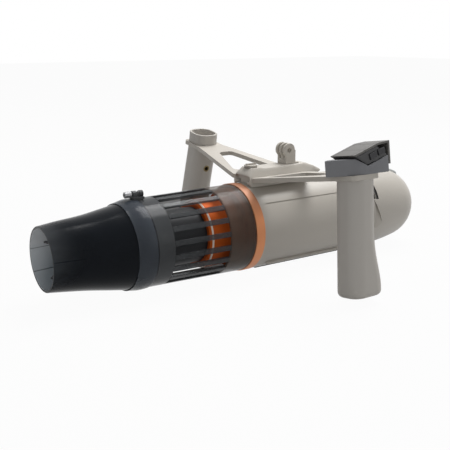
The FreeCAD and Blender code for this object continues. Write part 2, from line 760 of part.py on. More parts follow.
def clamp_band():
    start = at.joint_x - at.band_width
    slab = Part.makeCylinder(at.nozzle_belly_radius + at.band_thickness, at.band_width,
                             V(start, 0, 0), V(1, 0, 0))
    band = nozzle_solid(-at.band_thickness).common(slab).cut(nozzle_solid(-at.band_clearance))
    return node("clamp_band", made("band", at_axis(band)))


def clamp():
    """A bracket on the band that reaches over the joint, and its screw along the nozzle."""
    length = "clamp_back + clamp_front"
    start = "joint_x - clamp_back"
    lump = block("clamp_lump", length, "2 * clamp_half", "clamp_top", start, "-clamp_half",
                 "axis_height")
    seat = rod("clamp_seat", "nozzle_belly_radius + band_thickness", "nozzle_length",
               "joint_x - nozzle_length / 2")
    hole = rod("clamp_hole", "clamp_screw_shank + running_gap", length, start,
               z="axis_height + clamp_screw_rise")
    slit = block("clamp_slit", "clamp_front / 2", "2 * clamp_half", "clamp_top",
                 "joint_x + running_gap", "-clamp_half",
                 "axis_height + clamp_screw_rise - clamp_screw_shank / 2")
    node("clamp_bracket", cut("bracket", lump, fuse("bracket_cuts", seat, hole, slit)))
    head_x = "joint_x - clamp_back - running_gap - clamp_screw_head"
    head = rod("screw_head", "clamp_screw_radius", "clamp_screw_head", head_x,
               z="axis_height + clamp_screw_rise")
    shank = rod("screw_shank", "clamp_screw_shank", "clamp_screw_head + clamp_back", head_x,
                z="axis_height + clamp_screw_rise")
    node("clamp_screw", fuse("screw_pair", head, shank))


# Nose, with the battery that draws out with it


def nose_solid(inset):
    """The nose as a solid, moved in by the inset: a gentle arc that meets the tip round."""
    big = at.nose_shoulder_radius - inset
    small = at.nose_tip_radius - inset
    small_x = at.tip_x - at.nose_tip_radius
    rise = at.nose_shoulder_radius - at.hull_radius
    between = at.nose_shoulder_radius - at.nose_tip_radius
    big_x = small_x - math.sqrt(between ** 2 - rise ** 2)
    lean = math.atan2(small_x - big_x, rise)

    def on_big(angle):
        return V(big_x + big * math.sin(angle), 0, -rise + big * math.cos(angle))

    def on_small(angle):
        return V(small_x + small * math.sin(angle), 0, small * math.cos(angle))

    start = V(at.nose_x, 0, at.hull_radius - inset)
    foot = V(at.nose_x, 0, 0)
    square = math.pi / 2
    edges = [
        Part.makeLine(foot, start),
        Part.makeLine(start, on_big(0)),
        Part.Arc(on_big(0), on_big(lean / 2), on_big(lean)).toShape(),
        Part.Arc(on_small(lean), on_small((lean + square) / 2), on_small(square)).toShape(),
        Part.makeLine(on_small(square), foot),
    ]
    return revolve(edges)


def latch_box(length, height, bottom, top, x, side):
    """A block across a latch: bottom and top are radii, height lies round the nose."""
    shape = Part.makeBox(length, height, top - bottom, V(x, -height / 2, bottom))
    return radial(side * (90 - at.latch_angle), shape)


def finger_scoop(side):
    """A wedge that bites deepest at the nose joint and fades out forward."""
    high = at.latch_slot_height
    deep = at.hull_radius - at.scoop_depth
    out = at.hull_radius + at.scoop_depth
    points = [V(at.nose_x, deep, 0), V(at.nose_x + at.scoop_length, at.hull_radius, 0),
              V(at.nose_x + at.scoop_length, out, 0), V(at.nose_x, out, 0)]
    face = Part.Face(Part.makePolygon(points + points[:1]))
    wedge = face.extrude(V(0, 0, 2.6 * high))
    wedge.translate(V(0, 0, -high))
    slant = Part.makeBox(2 * at.scoop_length, 2 * out, 4 * high, V(0, 0, -2 * high))
    slant.rotate(V(), V(0, 1, 0), -24)
    slant.translate(V(at.nose_x + 0.45 * at.scoop_length, 0, 0))
    shape = wedge.cut(slant)
    if side == STARBOARD:
        shape = shape.mirror(V(), V(0, 1, 0))
    return shape


def power_button_frame(low, high, radius):
    """A cylinder square to the tip round, between two heights over it."""
    tilt = math.radians(at.button_tilt)
    way = V(math.sin(tilt), 0, math.cos(tilt))
    centre = V(at.tip_x - at.nose_tip_radius, 0, 0)
    foot = centre + way * (at.nose_tip_radius + low)
    return Part.makeCylinder(radius, high - low, foot, way)


def nose_cap():
    solid = nose_solid(0)
    hollow = nose_solid(at.nose_wall)
    plug_x = at.nose_x - at.nose_plug
    plug_r = at.hull_radius - at.hull_wall - at.running_gap
    plug = Part.makeCylinder(plug_r, at.nose_plug, V(plug_x, 0, 0), V(1, 0, 0))
    groove_x = plug_x + at.seal_ring_width
    groove = tube_shape(plug_r - at.seal_ring_depth, plug_r, groove_x, at.seal_ring_width)
    bore = Part.makeCylinder(at.battery_radius, 2 * at.nose_plug,
                             V(at.nose_x - 2 * at.nose_plug, 0, 0), V(1, 0, 0))
    shape = solid.cut(hollow).fuse(plug).cut(bore).cut(groove)
    for side in (PORT, STARBOARD):
        slot_low = at.hull_radius - at.latch_slot_depth
        shape = shape.cut(finger_scoop(side))
        shape = shape.cut(latch_box(at.latch_slot_width, at.latch_slot_height, slot_low,
                                    2 * at.hull_radius, at.nose_x, side))
    seat = power_button_frame(-at.button_seat - at.button_travel, at.button_height,
                              at.button_radius + at.running_gap)
    return node("nose_cap", made("nose", at_axis(shape.cut(seat).removeSplitter())))


def tube_shape(inner, outer, x, length):
    whole = Part.makeCylinder(outer, length, V(x, 0, 0), V(1, 0, 0))
    return whole.cut(Part.makeCylinder(inner, length, V(x, 0, 0), V(1, 0, 0)))


def nose_seal():
    outer = "hull_bore - running_gap"
    return node("nose_seal", ring("front_seal", outer + " - seal_ring_depth", outer,
                                  "nose_x - nose_plug + seal_ring_width", "seal_ring_width"))


def battery_sleeve():
    bore = "battery_radius - battery_wall"
    corners = [("battery_x", "0"), ("battery_x", "battery_radius"), ("nose_x", "battery_radius"),
               ("nose_x", bore), ("battery_x + battery_wall", bore),
               ("battery_x + battery_wall", "0")]
    return node("battery_sleeve", turned("sleeve", corners))


def battery_cells():
    cells = []
    for row in range(2):
        for i in range(int(at.cell_count)):
            angle = math.tau * i / at.cell_count
            x = at.cells_x + row * (at.cell_length + at.cell_gap)
            centre = V(x, at.cell_circle * math.sin(angle), at.cell_circle * math.cos(angle))
            cells.append(Part.makeCylinder(at.cell_radius, at.cell_length, centre, V(1, 0, 0)))
    return node("battery_cells", made("cells", at_axis(Part.makeCompound(cells))))


def cell_holders():
    bore = "cell_circle - cell_radius"
    wide = "battery_radius - battery_wall"
    rings = []
    for name, rim, x in (("holder_rear", wide, "cells_x - cell_gap"),
                         ("holder_middle", wide, "cells_x + cell_length"),
                         ("holder_front", "cell_circle + cell_radius", "cells_end")):
        rings.append(ring(name, bore, rim, x, "cell_gap"))
    return node("cell_holders", group("holders", *rings))


def battery_board():
    return node("battery_board", rod("board_disc", "battery_radius - battery_wall",
                                     "battery_wall", "cells_x - cell_gap - battery_wall"))


def battery_plug():
    return node("battery_plug", rod("plug_body", "bearing_radius", "bearing_width",
                                    "battery_x - bearing_width"))


def battery_socket():
    socket_x = "(battery_x - bearing_width - running_gap)"
    return node("battery_socket", rod("socket_body", "bearing_radius + motor_wall",
                                      "bearing_width", socket_x + " - bearing_width"))


def motor_controller():
    socket_back = "battery_x - 2 * bearing_width - running_gap"
    return node("motor_controller", rod("controller_disc", "mount_bore",
                                        "%s - (hull_x + mount_plug)" % socket_back,
                                        "hull_x + mount_plug"))


def nose_latches():
    for side, label in ((PORT, "port_latch"), (STARBOARD, "starboard_latch")):
        gap = at.running_gap
        low = at.hull_radius - at.latch_slot_depth + at.latch_travel + gap
        tab = latch_box(at.latch_slot_width - 2 * gap, at.latch_slot_height - 2 * gap, low,
                        low + at.latch_thickness, at.nose_x + gap, side)
        node(label, made(label + "_tab", at_axis(tab)))


def power_button():
    body = power_button_frame(-at.button_seat, at.button_height, at.button_radius)
    top = [edge for edge in body.Edges if edge.BoundBox.Center.x > body.BoundBox.Center.x]
    dome = body.makeFillet(at.button_height * 0.6, top[:1])
    return node("power_button", made("button", at_axis(dome)))


# Handle bridge: the saddle on the rail, two arm plates and two grips


def saddle():
    side = padded("saddle_side", "XZ_Plane", [
        ("saddle_x", "0"),
        ("saddle_x", "saddle_top - hood_height"),
        ("saddle_x + hood_height", "saddle_top"),
        ("saddle_end - tongue_length", "saddle_top"),
        ("saddle_end", "tongue_top"),
        ("saddle_end", "tongue_top - tongue_thickness"),
        ("saddle_end - tongue_length + tongue_thickness", "hull_radius + tongue_thickness / 2"),
        ("saddle_end - tongue_length + tongue_thickness", "0"),
    ], "4 * saddle_foot")
    place(side, z="axis_height")
    plan = padded("saddle_plan", "XY_Plane", [
        ("saddle_x", "-saddle_foot"),
        ("saddle_x", "saddle_foot"),
        ("saddle_end - tongue_length", "saddle_foot"),
        ("saddle_end", "tongue_half"),
        ("saddle_end", "-tongue_half"),
        ("saddle_end - tongue_length", "-saddle_foot"),
    ], "4 * saddle_top")
    place(plan, z="axis_height")
    knee = "saddle_top - hood_height"
    section = padded("saddle_section", "YZ_Plane", [
        ("-saddle_foot", "0"),
        ("-saddle_foot", "saddle_knee"),
        ("-saddle_waist", knee),
        ("-saddle_waist + hood_height / 2", "saddle_top"),
        ("saddle_waist - hood_height / 2", "saddle_top"),
        ("saddle_waist", knee),
        ("saddle_foot", "saddle_knee"),
        ("saddle_foot", "0"),
    ], "4 * saddle_length")
    place(section, z="axis_height")
    blank = common("saddle_blank", side, plan, section)
    saddle_blanks.append(blank)
    hull = rod("saddle_seat", "hull_radius + running_gap", "2 * hull_length", "hull_x - hull_length / 2")
    channel = tee("saddle_channel", "rail_setback + rail_length + running_gap", "hull_x",
                  "running_gap", "0")
    knob_hole = rod("knob_hole", "knob_stem + running_gap", "saddle_top", "knob_x",
                    z="axis_height", turn=UPRIGHT)
    return node("bridge_saddle", cut("saddle_body", blank, fuse("saddle_cuts", hull, channel,
                                                                knob_hole)))


def arm(side, label):
    """One arm plate, drawn flat from its root and then tilted up to the grip."""
    def out(text):
        return "%d * (%s)" % (side, text)

    rear = "grip_x - arm_tip_half"
    front = "grip_x + arm_tip_half"
    root_rear = "hull_x + arm_root_rear"
    root_front = "hull_x + arm_root_front"
    tip = "arm_span + grip_depth / 2 + running_gap"
    body = padded(label + "_plate", "XY_Plane", [
        (root_rear, "0"), (root_front, "0"), (front, out("arm_span - grip_depth / 2")),
        (front, out(tip)), (rear, out(tip)), (rear, out("arm_span - grip_depth / 2")),
    ], "arm_thickness", both_ways=False)
    rounded(body, label + "_rounds", "arm_corner", upright)
    far = "(arm_span - arm_window_end) / arm_span"
    rear_far = "%s + (%s - (%s)) * %s" % (root_rear, rear, root_rear, far)
    front_far = "%s + (%s - (%s)) * %s" % (root_front, front, root_front, far)
    hole = outline(body, label + "_opening", "XY_Plane", [
        (root_rear + " + arm_rear_bar", out("arm_window_root")),
        (root_front + " - arm_bar - arm_rear_bar / 4", out("arm_window_root")),
        (front_far + " - arm_bar", out("arm_span - arm_window_end")),
        (rear_far + " + arm_rear_bar_tip", out("arm_span - arm_window_end")),
    ])
    pocket = body.newObject("PartDesign::Pocket", label + "_window")
    pocket.Profile = hole
    pocket.setExpression("Length", full("arm_thickness"))
    pocket.Reversed = True
    rounded(body, label + "_window_rounds", "arm_corner",
            lambda edge: upright(edge) and is_straight(edge))
    body.Placement = Placement(V(), Rotation(V(1, 0, 0), 1))
    body.setExpression(".Placement.Rotation.Angle", full("%d * arm_slope" % side))
    body.setExpression(".Placement.Base.y", full(out("arm_root")))
    body.setExpression(".Placement.Base.z", full("plate_root_z - arm_thickness / cos(arm_slope)"))
    return node(label, cut(label + "_cut", body, saddle_blanks[0]))


def is_straight(edge):
    return edge.Curve.TypeId == "Part::GeomLine"


def on_grip(side, shape):
    """Tilt a shape made about the grip's top centre and carry it there."""
    lean = math.degrees(math.atan2(at.arm_rise - at.arm_root_rise, at.grip_reach - at.arm_root))
    shape.rotate(V(), V(1, 0, 0), side * lean)
    shape.translate(V(at.grip_x, side * at.grip_reach, at.plate_z))
    return shape


def rounded_wire(low_x, high_x, middle_y, half_y, z, corner):
    """A rounded rectangle that always starts at the same corner."""
    xs = (low_x, high_x)
    centres = [(xs[1] - corner, middle_y - half_y + corner, -90),
               (xs[1] - corner, middle_y + half_y - corner, 0),
               (xs[0] + corner, middle_y + half_y - corner, 90),
               (xs[0] + corner, middle_y - half_y + corner, 180)]
    arcs = []
    for x, y, first in centres:
        spots = []
        for step in (0, 45, 90):
            angle = math.radians(first + step)
            spots.append(V(x + corner * math.cos(angle), y + corner * math.sin(angle), z))
        arcs.append(spots)
    edges = []
    for i, spots in enumerate(arcs):
        edges.append(Part.Arc(*spots).toShape())
        edges.append(Part.makeLine(spots[2], arcs[(i + 1) % 4][0]))
    return Part.Wire(edges)


def grip_section(depth, shrink, flare):
    """A section of a grip; depth is 0 at the top of the plate and 1 at the foot."""
    centre_x = -at.grip_rake * depth
    half_x = at.grip_width / 2 - shrink
    half_y = at.grip_depth / 2 - shrink
    return rounded_wire(centre_x - half_x, centre_x + half_x + flare, 0, half_y,
                        -at.grip_length * depth, at.grip_round - shrink)


def grip_blank():
    """A straight upper half, then the forward flare and a rounded foot."""
    top = at.arm_thickness / at.grip_length
    middle = 0.4
    upper = Part.makeLoft([grip_section(top, 0, 0), grip_section(middle, 0, 0)], True, True)
    edge = 3.0
    rows = ((middle, 0, 0), (0.5, 0, 0.05), (0.62, 0, 0.22), (0.75, 0, 0.58), (0.87, 0, 0.92),
            (0.965, 0, 1.0))
    lower = Part.makeLoft([grip_section(depth, shrink, at.grip_flare * share)
                           for depth, shrink, share in rows], True)
    foot = Part.makeLoft([grip_section(rows[-1][0], 0, at.grip_flare),
                          grip_section(1.0, edge, at.grip_flare)], True, True)
    return upper.fuse([lower, foot]).removeSplitter()


def grips():
    face = V(-at.insert_back, -at.grip_depth / 2, -at.insert_drop)
    inward = V(0, 1, 0)
    hole = Part.makeCylinder(at.insert_radius, at.insert_length, face, inward)
    thread = Part.makeCylinder(at.insert_bore, at.insert_length, face, inward)
    node("port_grip", made("port_grip_body", on_grip(PORT, grip_blank().cut(hole))))
    node("threaded_insert", made("insert", on_grip(PORT, hole.cut(thread))))
    node("starboard_grip", made("starboard_grip_body", on_grip(STARBOARD, grip_blank())))


def collar_block(shrink, low, high):
    """A rounded block over a grip's top centre, smaller all round by the shrink."""
    half_x = at.grip_width / 2 - shrink
    half_y = at.grip_depth / 2 - shrink
    wire = rounded_wire(-half_x, half_x, 0, half_y, low, at.grip_round - shrink)
    return Part.Face(wire).extrude(V(0, 0, high - low))


def grip_collar():
    outer = collar_block(0, 0, at.cup_height)
    inner = collar_block(at.cup_wall, at.cup_height - at.cup_depth, at.cup_height)
    return node("grip_collar", made("collar", on_grip(PORT, outer.cut(inner))))


def camera_mount():
    prongs = []
    pitch = 2 * at.camera_prong
    base_z = at.saddle_top
    stem = at.camera_stem
    front = at.camera_stem_front
    for i in (-1, 0, 1):
        y = i * pitch - at.camera_prong / 2
        head = Part.makeCylinder(at.camera_head, at.camera_prong, V(0, y, at.camera_rise), V(0, 1, 0))
        leg = Part.makeBox(front + stem, at.camera_prong, at.camera_rise - base_z,
                           V(-stem, y, base_z))
        prongs.append(head.fuse(leg))
    width = 5 * at.camera_prong
    foot = Part.makeBox(front + stem, width, at.camera_web, V(-stem, -width / 2, base_z))
    step = Part.makeBox(stem, width, at.camera_web / 3, V(front, -width / 2, base_z))
    bore = Part.makeCylinder(at.camera_bore, 2 * width, V(0, -width, at.camera_rise), V(0, 1, 0))
    shape = foot.fuse(prongs + [step]).cut(bore)
    shape.translate(V(at.camera_x, 0, 0))
    return node("camera_mount", made("prongs", at_axis(shape.removeSplitter())))


def lock_knob():
    disc = rod("knob_disc", "knob_radius", "knob_height", "knob_x", z="deck_z + running_gap",
               turn=UPRIGHT)
    rib = block("knob_rib", "2 * knob_radius - knob_grip", "knob_grip", "knob_grip",
                "knob_x - knob_radius + knob_grip / 2", "-knob_grip / 2",
                "deck_z + running_gap + knob_height")
    stem_z = "axis_height + rail_top + 2 * running_gap"
    stem = rod("knob_pin", "knob_stem", "deck_z + running_gap - (%s)" % stem_z, "knob_x",
               z=stem_z, turn=UPRIGHT)
    return node("lock_knob", fuse("knob", disc, rib, stem))


# Remote control in its cradle on the starboard grip


def facet(points):
    return Part.Face(Part.makePolygon(points + points[:1]))


def cradle_plan():
    """The cradle seen from above: a box with two facets at its outer rear corner."""
    half = at.cradle_half
    back = -at.cradle_back
    turn = back + at.cradle_cut
    front = at.cradle_front
    return facet([
        V(front, half, 0), V(front, -half, 0),
        V(turn + at.cradle_nick, -half, 0),
        V(turn, -half + at.cradle_nick_in, 0),
        V(back, -half + at.cradle_nick_in + at.cradle_cut_in, 0),
        V(back + at.cradle_nick, half, 0),
    ])


def remote_frame():
    """Low corner of the remote and its two directions, seen from the side of the grip."""
    slope = math.radians(at.remote_slope)
    end = math.radians(at.remote_end)
    corner = V(at.remote_ahead, 0, at.remote_rise)
    along = V(math.cos(slope), 0, math.sin(slope))
    up_end = V(-math.cos(end), 0, math.sin(end))
    up_end = up_end * (at.remote_deep / math.sin(slope + end))
    return corner, along, up_end


def across(face, width, gap=0):
    """Extrude a side view to a width about the middle of the grip."""
    solid = face.extrude(V(0, width + 2 * gap, 0))
    solid.translate(V(0, -width / 2 - gap, 0))
    return solid


def remote_cradle():
    outer = cradle_plan().extrude(V(0, 0, 2 * at.cradle_rim))
    corner, along, up_end = remote_frame()
    low = corner - V(0, 0, at.running_gap)
    far = 2 * at.remote_long
    back = low + up_end * 3
    seat = facet([low, low + along * far, low + along * far + V(0, 0, far),
                  back + V(0, 0, far), back])
    rim = Part.makeBox(at.cradle_back, 4 * at.cradle_half, at.cradle_rim,
                       V(-at.cradle_back, -2 * at.cradle_half, at.cradle_rim))
    shape = outer.cut(across(seat, 4 * at.cradle_half)).cut(rim)
    return node("remote_cradle", made("cradle", on_grip(STARBOARD, shape)))


def key_block(index, grow, inner, outer):
    """One side key as a slanted block between two distances from the grip's middle."""
    corner, along, up_end = remote_frame()
    up_way = V(-along.z, 0, along.x)
    middle = corner + up_way * (at.remote_deep - at.cover_thickness - at.key_height) * 0.5
    start = middle + along * (at.key_inset + index * (at.key_length + at.key_apart))
    low = start - along * grow - up_way * grow
    wide = along * (at.key_length + 2 * grow)
    tall = up_way * (at.key_height + 2 * grow)
    face = facet([low, low + wide, low + wide + tall, low + tall])
    solid = face.extrude(V(0, outer - inner, 0))
    solid.translate(V(0, -outer, 0))
    return solid


def remote():
    corner, along, up_end = remote_frame()
    gap = at.running_gap
    share = 1 - at.cover_thickness / at.remote_deep
    top = corner + up_end * share
    side = at.remote_width / 2
    far = along * at.remote_long
    body = across(facet([corner, corner + far, top + far, top]), at.remote_width)
    body = body.cut(across(cover_side(top), at.remote_width, gap))
    for index, label in ((0, "rear_key"), (1, "front_key")):
        root = side - at.key_root - at.key_travel - gap
        body = body.cut(key_block(index, gap, root, side + at.key_root))
        key = key_block(index, 0, side - at.key_root, side + at.key_proud)
        node(label, made(label + "_block", on_grip(STARBOARD, key)))
    node("remote_body", made("remote_shell", on_grip(STARBOARD, body)))
    node("remote_cover", made("cover", on_grip(STARBOARD, across(cover_side(top), at.remote_width))))


def cover_side(top):
    """Side view of the cover: a sloping plate, a flatter visor and a lip down the front."""
    corner, along, up_end = remote_frame()
    peak = corner + up_end
    fall = V(0, 0, -at.cover_thickness)
    bend = peak + along * ((at.visor_ahead - peak.x) / along.x)
    out_x = at.cradle_front + at.lip_gap + at.lip_thickness
    reach = out_x - bend.x
    outer = bend + V(reach, 0, reach * math.tan(math.radians(at.visor_slope)))
    inner = outer + fall - V(at.lip_thickness, 0, 0)
    lip = V(0, 0, -at.lip_drop)
    foot = V(inner.x, 0, outer.z) + lip
    under = top + along * ((bend.x - top.x) / along.x)
    return facet([top, under, inner, foot, outer + lip, outer, bend, peak])


def build_all():
    main_housing()
    keel_strip()
    skid_ribs()
    bridge_rail()
    coupling_ring()
    motor_mount()
    housing_seal()
    intake_grille()
    motor_can()
    motor_inside()
    rotor_inside()
    propeller()
    propeller_nut()
    nozzle()
    flow_straightener()
    clamp_band()
    clamp()
    nose_cap()
    nose_seal()
    battery_sleeve()
    battery_cells()
    cell_holders()
    battery_board()
    battery_plug()
    battery_socket()
    motor_controller()
    nose_latches()
    power_button()
    saddle()
    arm(PORT, "port_arm")
    arm(STARBOARD, "starboard_arm")
    grips()
    grip_collar()
    camera_mount()
    lock_knob()
    remote_cradle()
    remote()


def check_document():
    doc.recompute()
    for thing in doc.Objects:
        if "Invalid" in thing.State or "Error" in thing.State:
            raise RuntimeError("%s failed: %s" % (thing.Label, thing.State))
    for thing in nodes:
        if thing.Shape.isNull() or not thing.Shape.isValid() or not thing.Shape.Solids:
            raise RuntimeError("%s has no valid shape" % thing.Label)


def write_parts():
    os.makedirs("parts", exist_ok=True)
    for thing in nodes:
        thing.Shape.exportStep("parts/%s.step" % thing.Label)


build_all()
check_document()
write_parts()
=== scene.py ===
"""Finishes, rounded shells and small fittings of the paddle board motor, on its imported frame."""
import json
import math

import bmesh
import bpy
from mathutils import Matrix, Vector

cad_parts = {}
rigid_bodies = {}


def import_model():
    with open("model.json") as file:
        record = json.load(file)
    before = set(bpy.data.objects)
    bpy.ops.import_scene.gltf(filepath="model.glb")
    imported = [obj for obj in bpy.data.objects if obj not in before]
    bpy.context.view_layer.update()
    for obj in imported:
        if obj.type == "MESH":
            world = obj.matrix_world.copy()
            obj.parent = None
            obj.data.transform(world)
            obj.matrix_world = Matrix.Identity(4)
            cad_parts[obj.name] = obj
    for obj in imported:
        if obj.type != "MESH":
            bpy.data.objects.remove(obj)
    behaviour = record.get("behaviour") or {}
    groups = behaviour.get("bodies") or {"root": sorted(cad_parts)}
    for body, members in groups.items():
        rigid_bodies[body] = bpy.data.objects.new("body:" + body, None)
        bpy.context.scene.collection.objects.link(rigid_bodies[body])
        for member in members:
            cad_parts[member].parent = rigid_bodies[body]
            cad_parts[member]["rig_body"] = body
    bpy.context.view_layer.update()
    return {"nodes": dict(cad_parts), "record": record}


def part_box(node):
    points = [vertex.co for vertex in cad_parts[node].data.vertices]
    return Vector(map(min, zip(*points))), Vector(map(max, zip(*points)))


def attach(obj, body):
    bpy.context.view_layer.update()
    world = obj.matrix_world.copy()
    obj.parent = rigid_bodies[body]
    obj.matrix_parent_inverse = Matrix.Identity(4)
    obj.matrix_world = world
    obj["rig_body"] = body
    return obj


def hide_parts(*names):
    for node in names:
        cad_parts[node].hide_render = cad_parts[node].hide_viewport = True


MM = 0.001
# Points nearer than this are one
WELD = 0.002 * MM
# A plane takes points that are nearer than this as lying on it
CUT_SLACK = 0.001 * MM
# Faces that differ by less than this, in degrees, are one
FLAT_ANGLE = 0.06
# Length of one band of a Wave texture at a scale of 1, in metres
WAVE_LENGTH = 0.31416
# Steps of a full turn, and of a curve between two of its points
SPIN_STEPS = 128
CURVE_STEPS = 8
WHITE = (1, 1, 1, 1)
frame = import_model()
scene = bpy.context.scene
scene.view_settings.view_transform = "Standard"


def middle(node):
    """Centre of a node's box."""
    low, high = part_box(node)
    return (low + high) / 2


# Height of the line that the hull and the jet are round
AXIS = middle("coupling_ring").z


class Value:
    """A socket of a node tree, on which sums are written as plain expressions."""

    def __init__(self, tree, socket):
        self.tree = tree
        self.socket = socket

    def maths(self, operation, first, second):
        """A Math node on two numbers or sockets."""
        return self.tree.add("ShaderNodeMath", {"operation": operation}, {0: first, 1: second})

    def __add__(self, other):
        return self.maths("ADD", self, other)

    def __radd__(self, other):
        return self.maths("ADD", other, self)

    def __sub__(self, other):
        return self.maths("SUBTRACT", self, other)

    def __rsub__(self, other):
        return self.maths("SUBTRACT", other, self)

    def __mul__(self, other):
        return self.maths("MULTIPLY", self, other)

    def __rmul__(self, other):
        return self.maths("MULTIPLY", other, self)


class Tree:
    """A node tree whose nodes are added one at a time."""

    def __init__(self, owner):
        owner.use_nodes = True
        self.nodes = owner.node_tree.nodes
        self.links = owner.node_tree.links
        self.nodes.clear()

    def add(self, kind, settings=None, inputs=None, out=0):
        """Adds a node, its settings first, and gives one of its outputs if it has any."""
        node = self.nodes.new(kind)
        for name, setting in (settings or {}).items():
            setattr(node, name, setting)
        for name, value in (inputs or {}).items():
            if isinstance(value, Value):
                self.links.new(value.socket, node.inputs[name])
            else:
                node.inputs[name].default_value = value
        return Value(self, node.outputs[out]) if node.outputs else None

    def straight_rays(self):
        """1 for what the camera sees, also by gloss or through glass, and 0 for light that falls."""
        rays = self.add("ShaderNodeLightPath", out="Is Camera Ray")
        for ray in ("Is Glossy Ray", "Is Transmission Ray"):
            rays = rays.maths("MAXIMUM", rays, self.add("ShaderNodeLightPath", out=ray))
        return rays


class Finish(Tree):
    """A material with the patterns that the finishes below share."""

    def __init__(self, name):
        self.material = bpy.data.materials.new(name)
        super().__init__(self.material)
        self.spot = self.add("ShaderNodeTexCoord", out="Object")

    def along(self, letter):
        """The X, Y or Z coordinate in metres."""
        return self.add("ShaderNodeSeparateXYZ", None, {0: self.spot}, letter)

    def groove(self, letter, place, width):
        """A fine groove across an axis, 1 in its middle and 0 from its width on."""
        away = self.along(letter) - place
        return self.between(away.maths("ABSOLUTE", away, 0.0), 0.3 * width, width, 1.0, 0.0)

    def cloud(self, size, detail=2.0, stretch=(1, 1, 1), shift=0.0):
        """Soft lumps from 0 to 1, of a size in metres, longer along an axis with a small stretch."""
        placed = self.add("ShaderNodeMapping", None,
                          {"Vector": self.spot, "Location": (shift,) * 3, "Scale": stretch})
        return self.add("ShaderNodeTexNoise", None,
                        {"Vector": placed, "Scale": 1 / size, "Detail": detail})

    def between(self, value, low, high, start=0.0, end=1.0):
        """Start below the low value and end above the high one, smooth between them."""
        return self.add("ShaderNodeMapRange", {"interpolation_type": "SMOOTHSTEP"},
                        {0: value, 1: low, 2: high, 3: start, 4: end})

    def colours(self, factor, first, second):
        """A colour from the first to the second."""
        return self.add("ShaderNodeMix", {"data_type": "RGBA"},
                        {0: factor, 6: solid(first), 7: solid(second)}, 2)

    def bands(self, size, direction, waver):
        """Bands of a size in metres along a direction, from 0 to 1, more uneven with more waver."""
        return self.add("ShaderNodeTexWave", {"bands_direction": direction},
                        {"Vector": self.spot, "Scale": WAVE_LENGTH / size, "Distortion": waver})

    def shade(self, base, roughness, metallic=0.0, relief=None, depth=0.02 * MM, **constants):
        """Ends the finish in a surface, with relief as its height."""
        inputs = {"Base Color": solid(base), "Roughness": roughness, "Metallic": metallic}
        if relief is not None:
            inputs["Normal"] = self.add("ShaderNodeBump", None,
                                        {"Height": relief, "Distance": depth, "Strength": 1.0})
        inputs.update({name.replace("_", " "): value for name, value in constants.items()})
        return self.ended(self.add("ShaderNodeBsdfPrincipled", None, inputs))

    def ended(self, surface):
        """Gives the material, its surface in place."""
        self.add("ShaderNodeOutputMaterial", None, {"Surface": surface})
        return self.material


def solid(colour):
    """A colour with its alpha, or a socket as it is."""
    if isinstance(colour, Value) or len(colour) == 4:
        return colour
    return (*colour, 1.0)


def scaled(colour, factor):
    """A colour made darker or lighter."""
    return tuple(factor * part for part in colour)


# How far the floor is white to the camera, from 0 to 1
FLOOR_GLOW = 0.96


# Plastics
def shell_plastic(name, colour, roughness):
    """Satin moulded plastic: a fine spark texture, faint flow marks and rubbed, dusty undersides."""
    finish = Finish(name)
    flow = finish.cloud(60 * MM, 3.0, (0.5, 1, 1))
    spark = finish.cloud(0.5 * MM, 3.0)
    speck = finish.cloud(2.4 * MM, 2.0, shift=0.3)
    low = finish.between(finish.along("Z"), 5 * MM, 22 * MM, 1.0, 0.0)
    scuff = finish.between(finish.cloud(7 * MM, 6.0, (0.25, 1, 1), 0.7), 0.56, 0.66) * low
    tone = finish.colours(flow, scaled(colour, 0.95), scaled(colour, 1.05))
    tone = finish.colours(scuff * 0.55, tone, scaled(colour, 1.35))
    rough = roughness - 0.05 + 0.10 * flow + 0.08 * spark + 0.15 * scuff
    return finish.shade(tone, rough, relief=spark + 0.5 * speck - 0.4 * scuff, depth=0.05 * MM,
                        Specular_IOR_Level=0.4)


def smoke_plastic(name, front, rear, start, end, colour, seam=None, gloss=0.11):
    """Glossy see-through smoke plastic, with its alpha to the rear of the start and before the end.

    It is a little denser low down, and dark at a seam if one is given.
    """
    finish = Finish(name)
    haze = finish.cloud(30 * MM, 3.0)
    film = finish.cloud(5 * MM, 5.0, (0.3, 1, 1))
    length = finish.between(finish.along("X"), start, end)
    tone = finish.colours(haze, scaled(colour, 0.8), scaled(colour, 1.5))
    low = finish.between(finish.along("Z"), 12 * MM, 50 * MM, 0.2, 0.0)
    body = rear + (front - rear) * length + 0.03 * haze + low
    if seam is not None:
        line = finish.between(finish.along("X"), seam - 1.2 * MM, seam - 0.8 * MM)
        near_black = (0.003, 0.003, 0.004)
        tone = finish.colours(line, tone, near_black)
        body = body + 0.4 * line
    return finish.shade(tone, 0.13 + 0.12 * film, relief=haze, depth=0.05 * MM, Alpha=body,
                        Specular_IOR_Level=gloss)


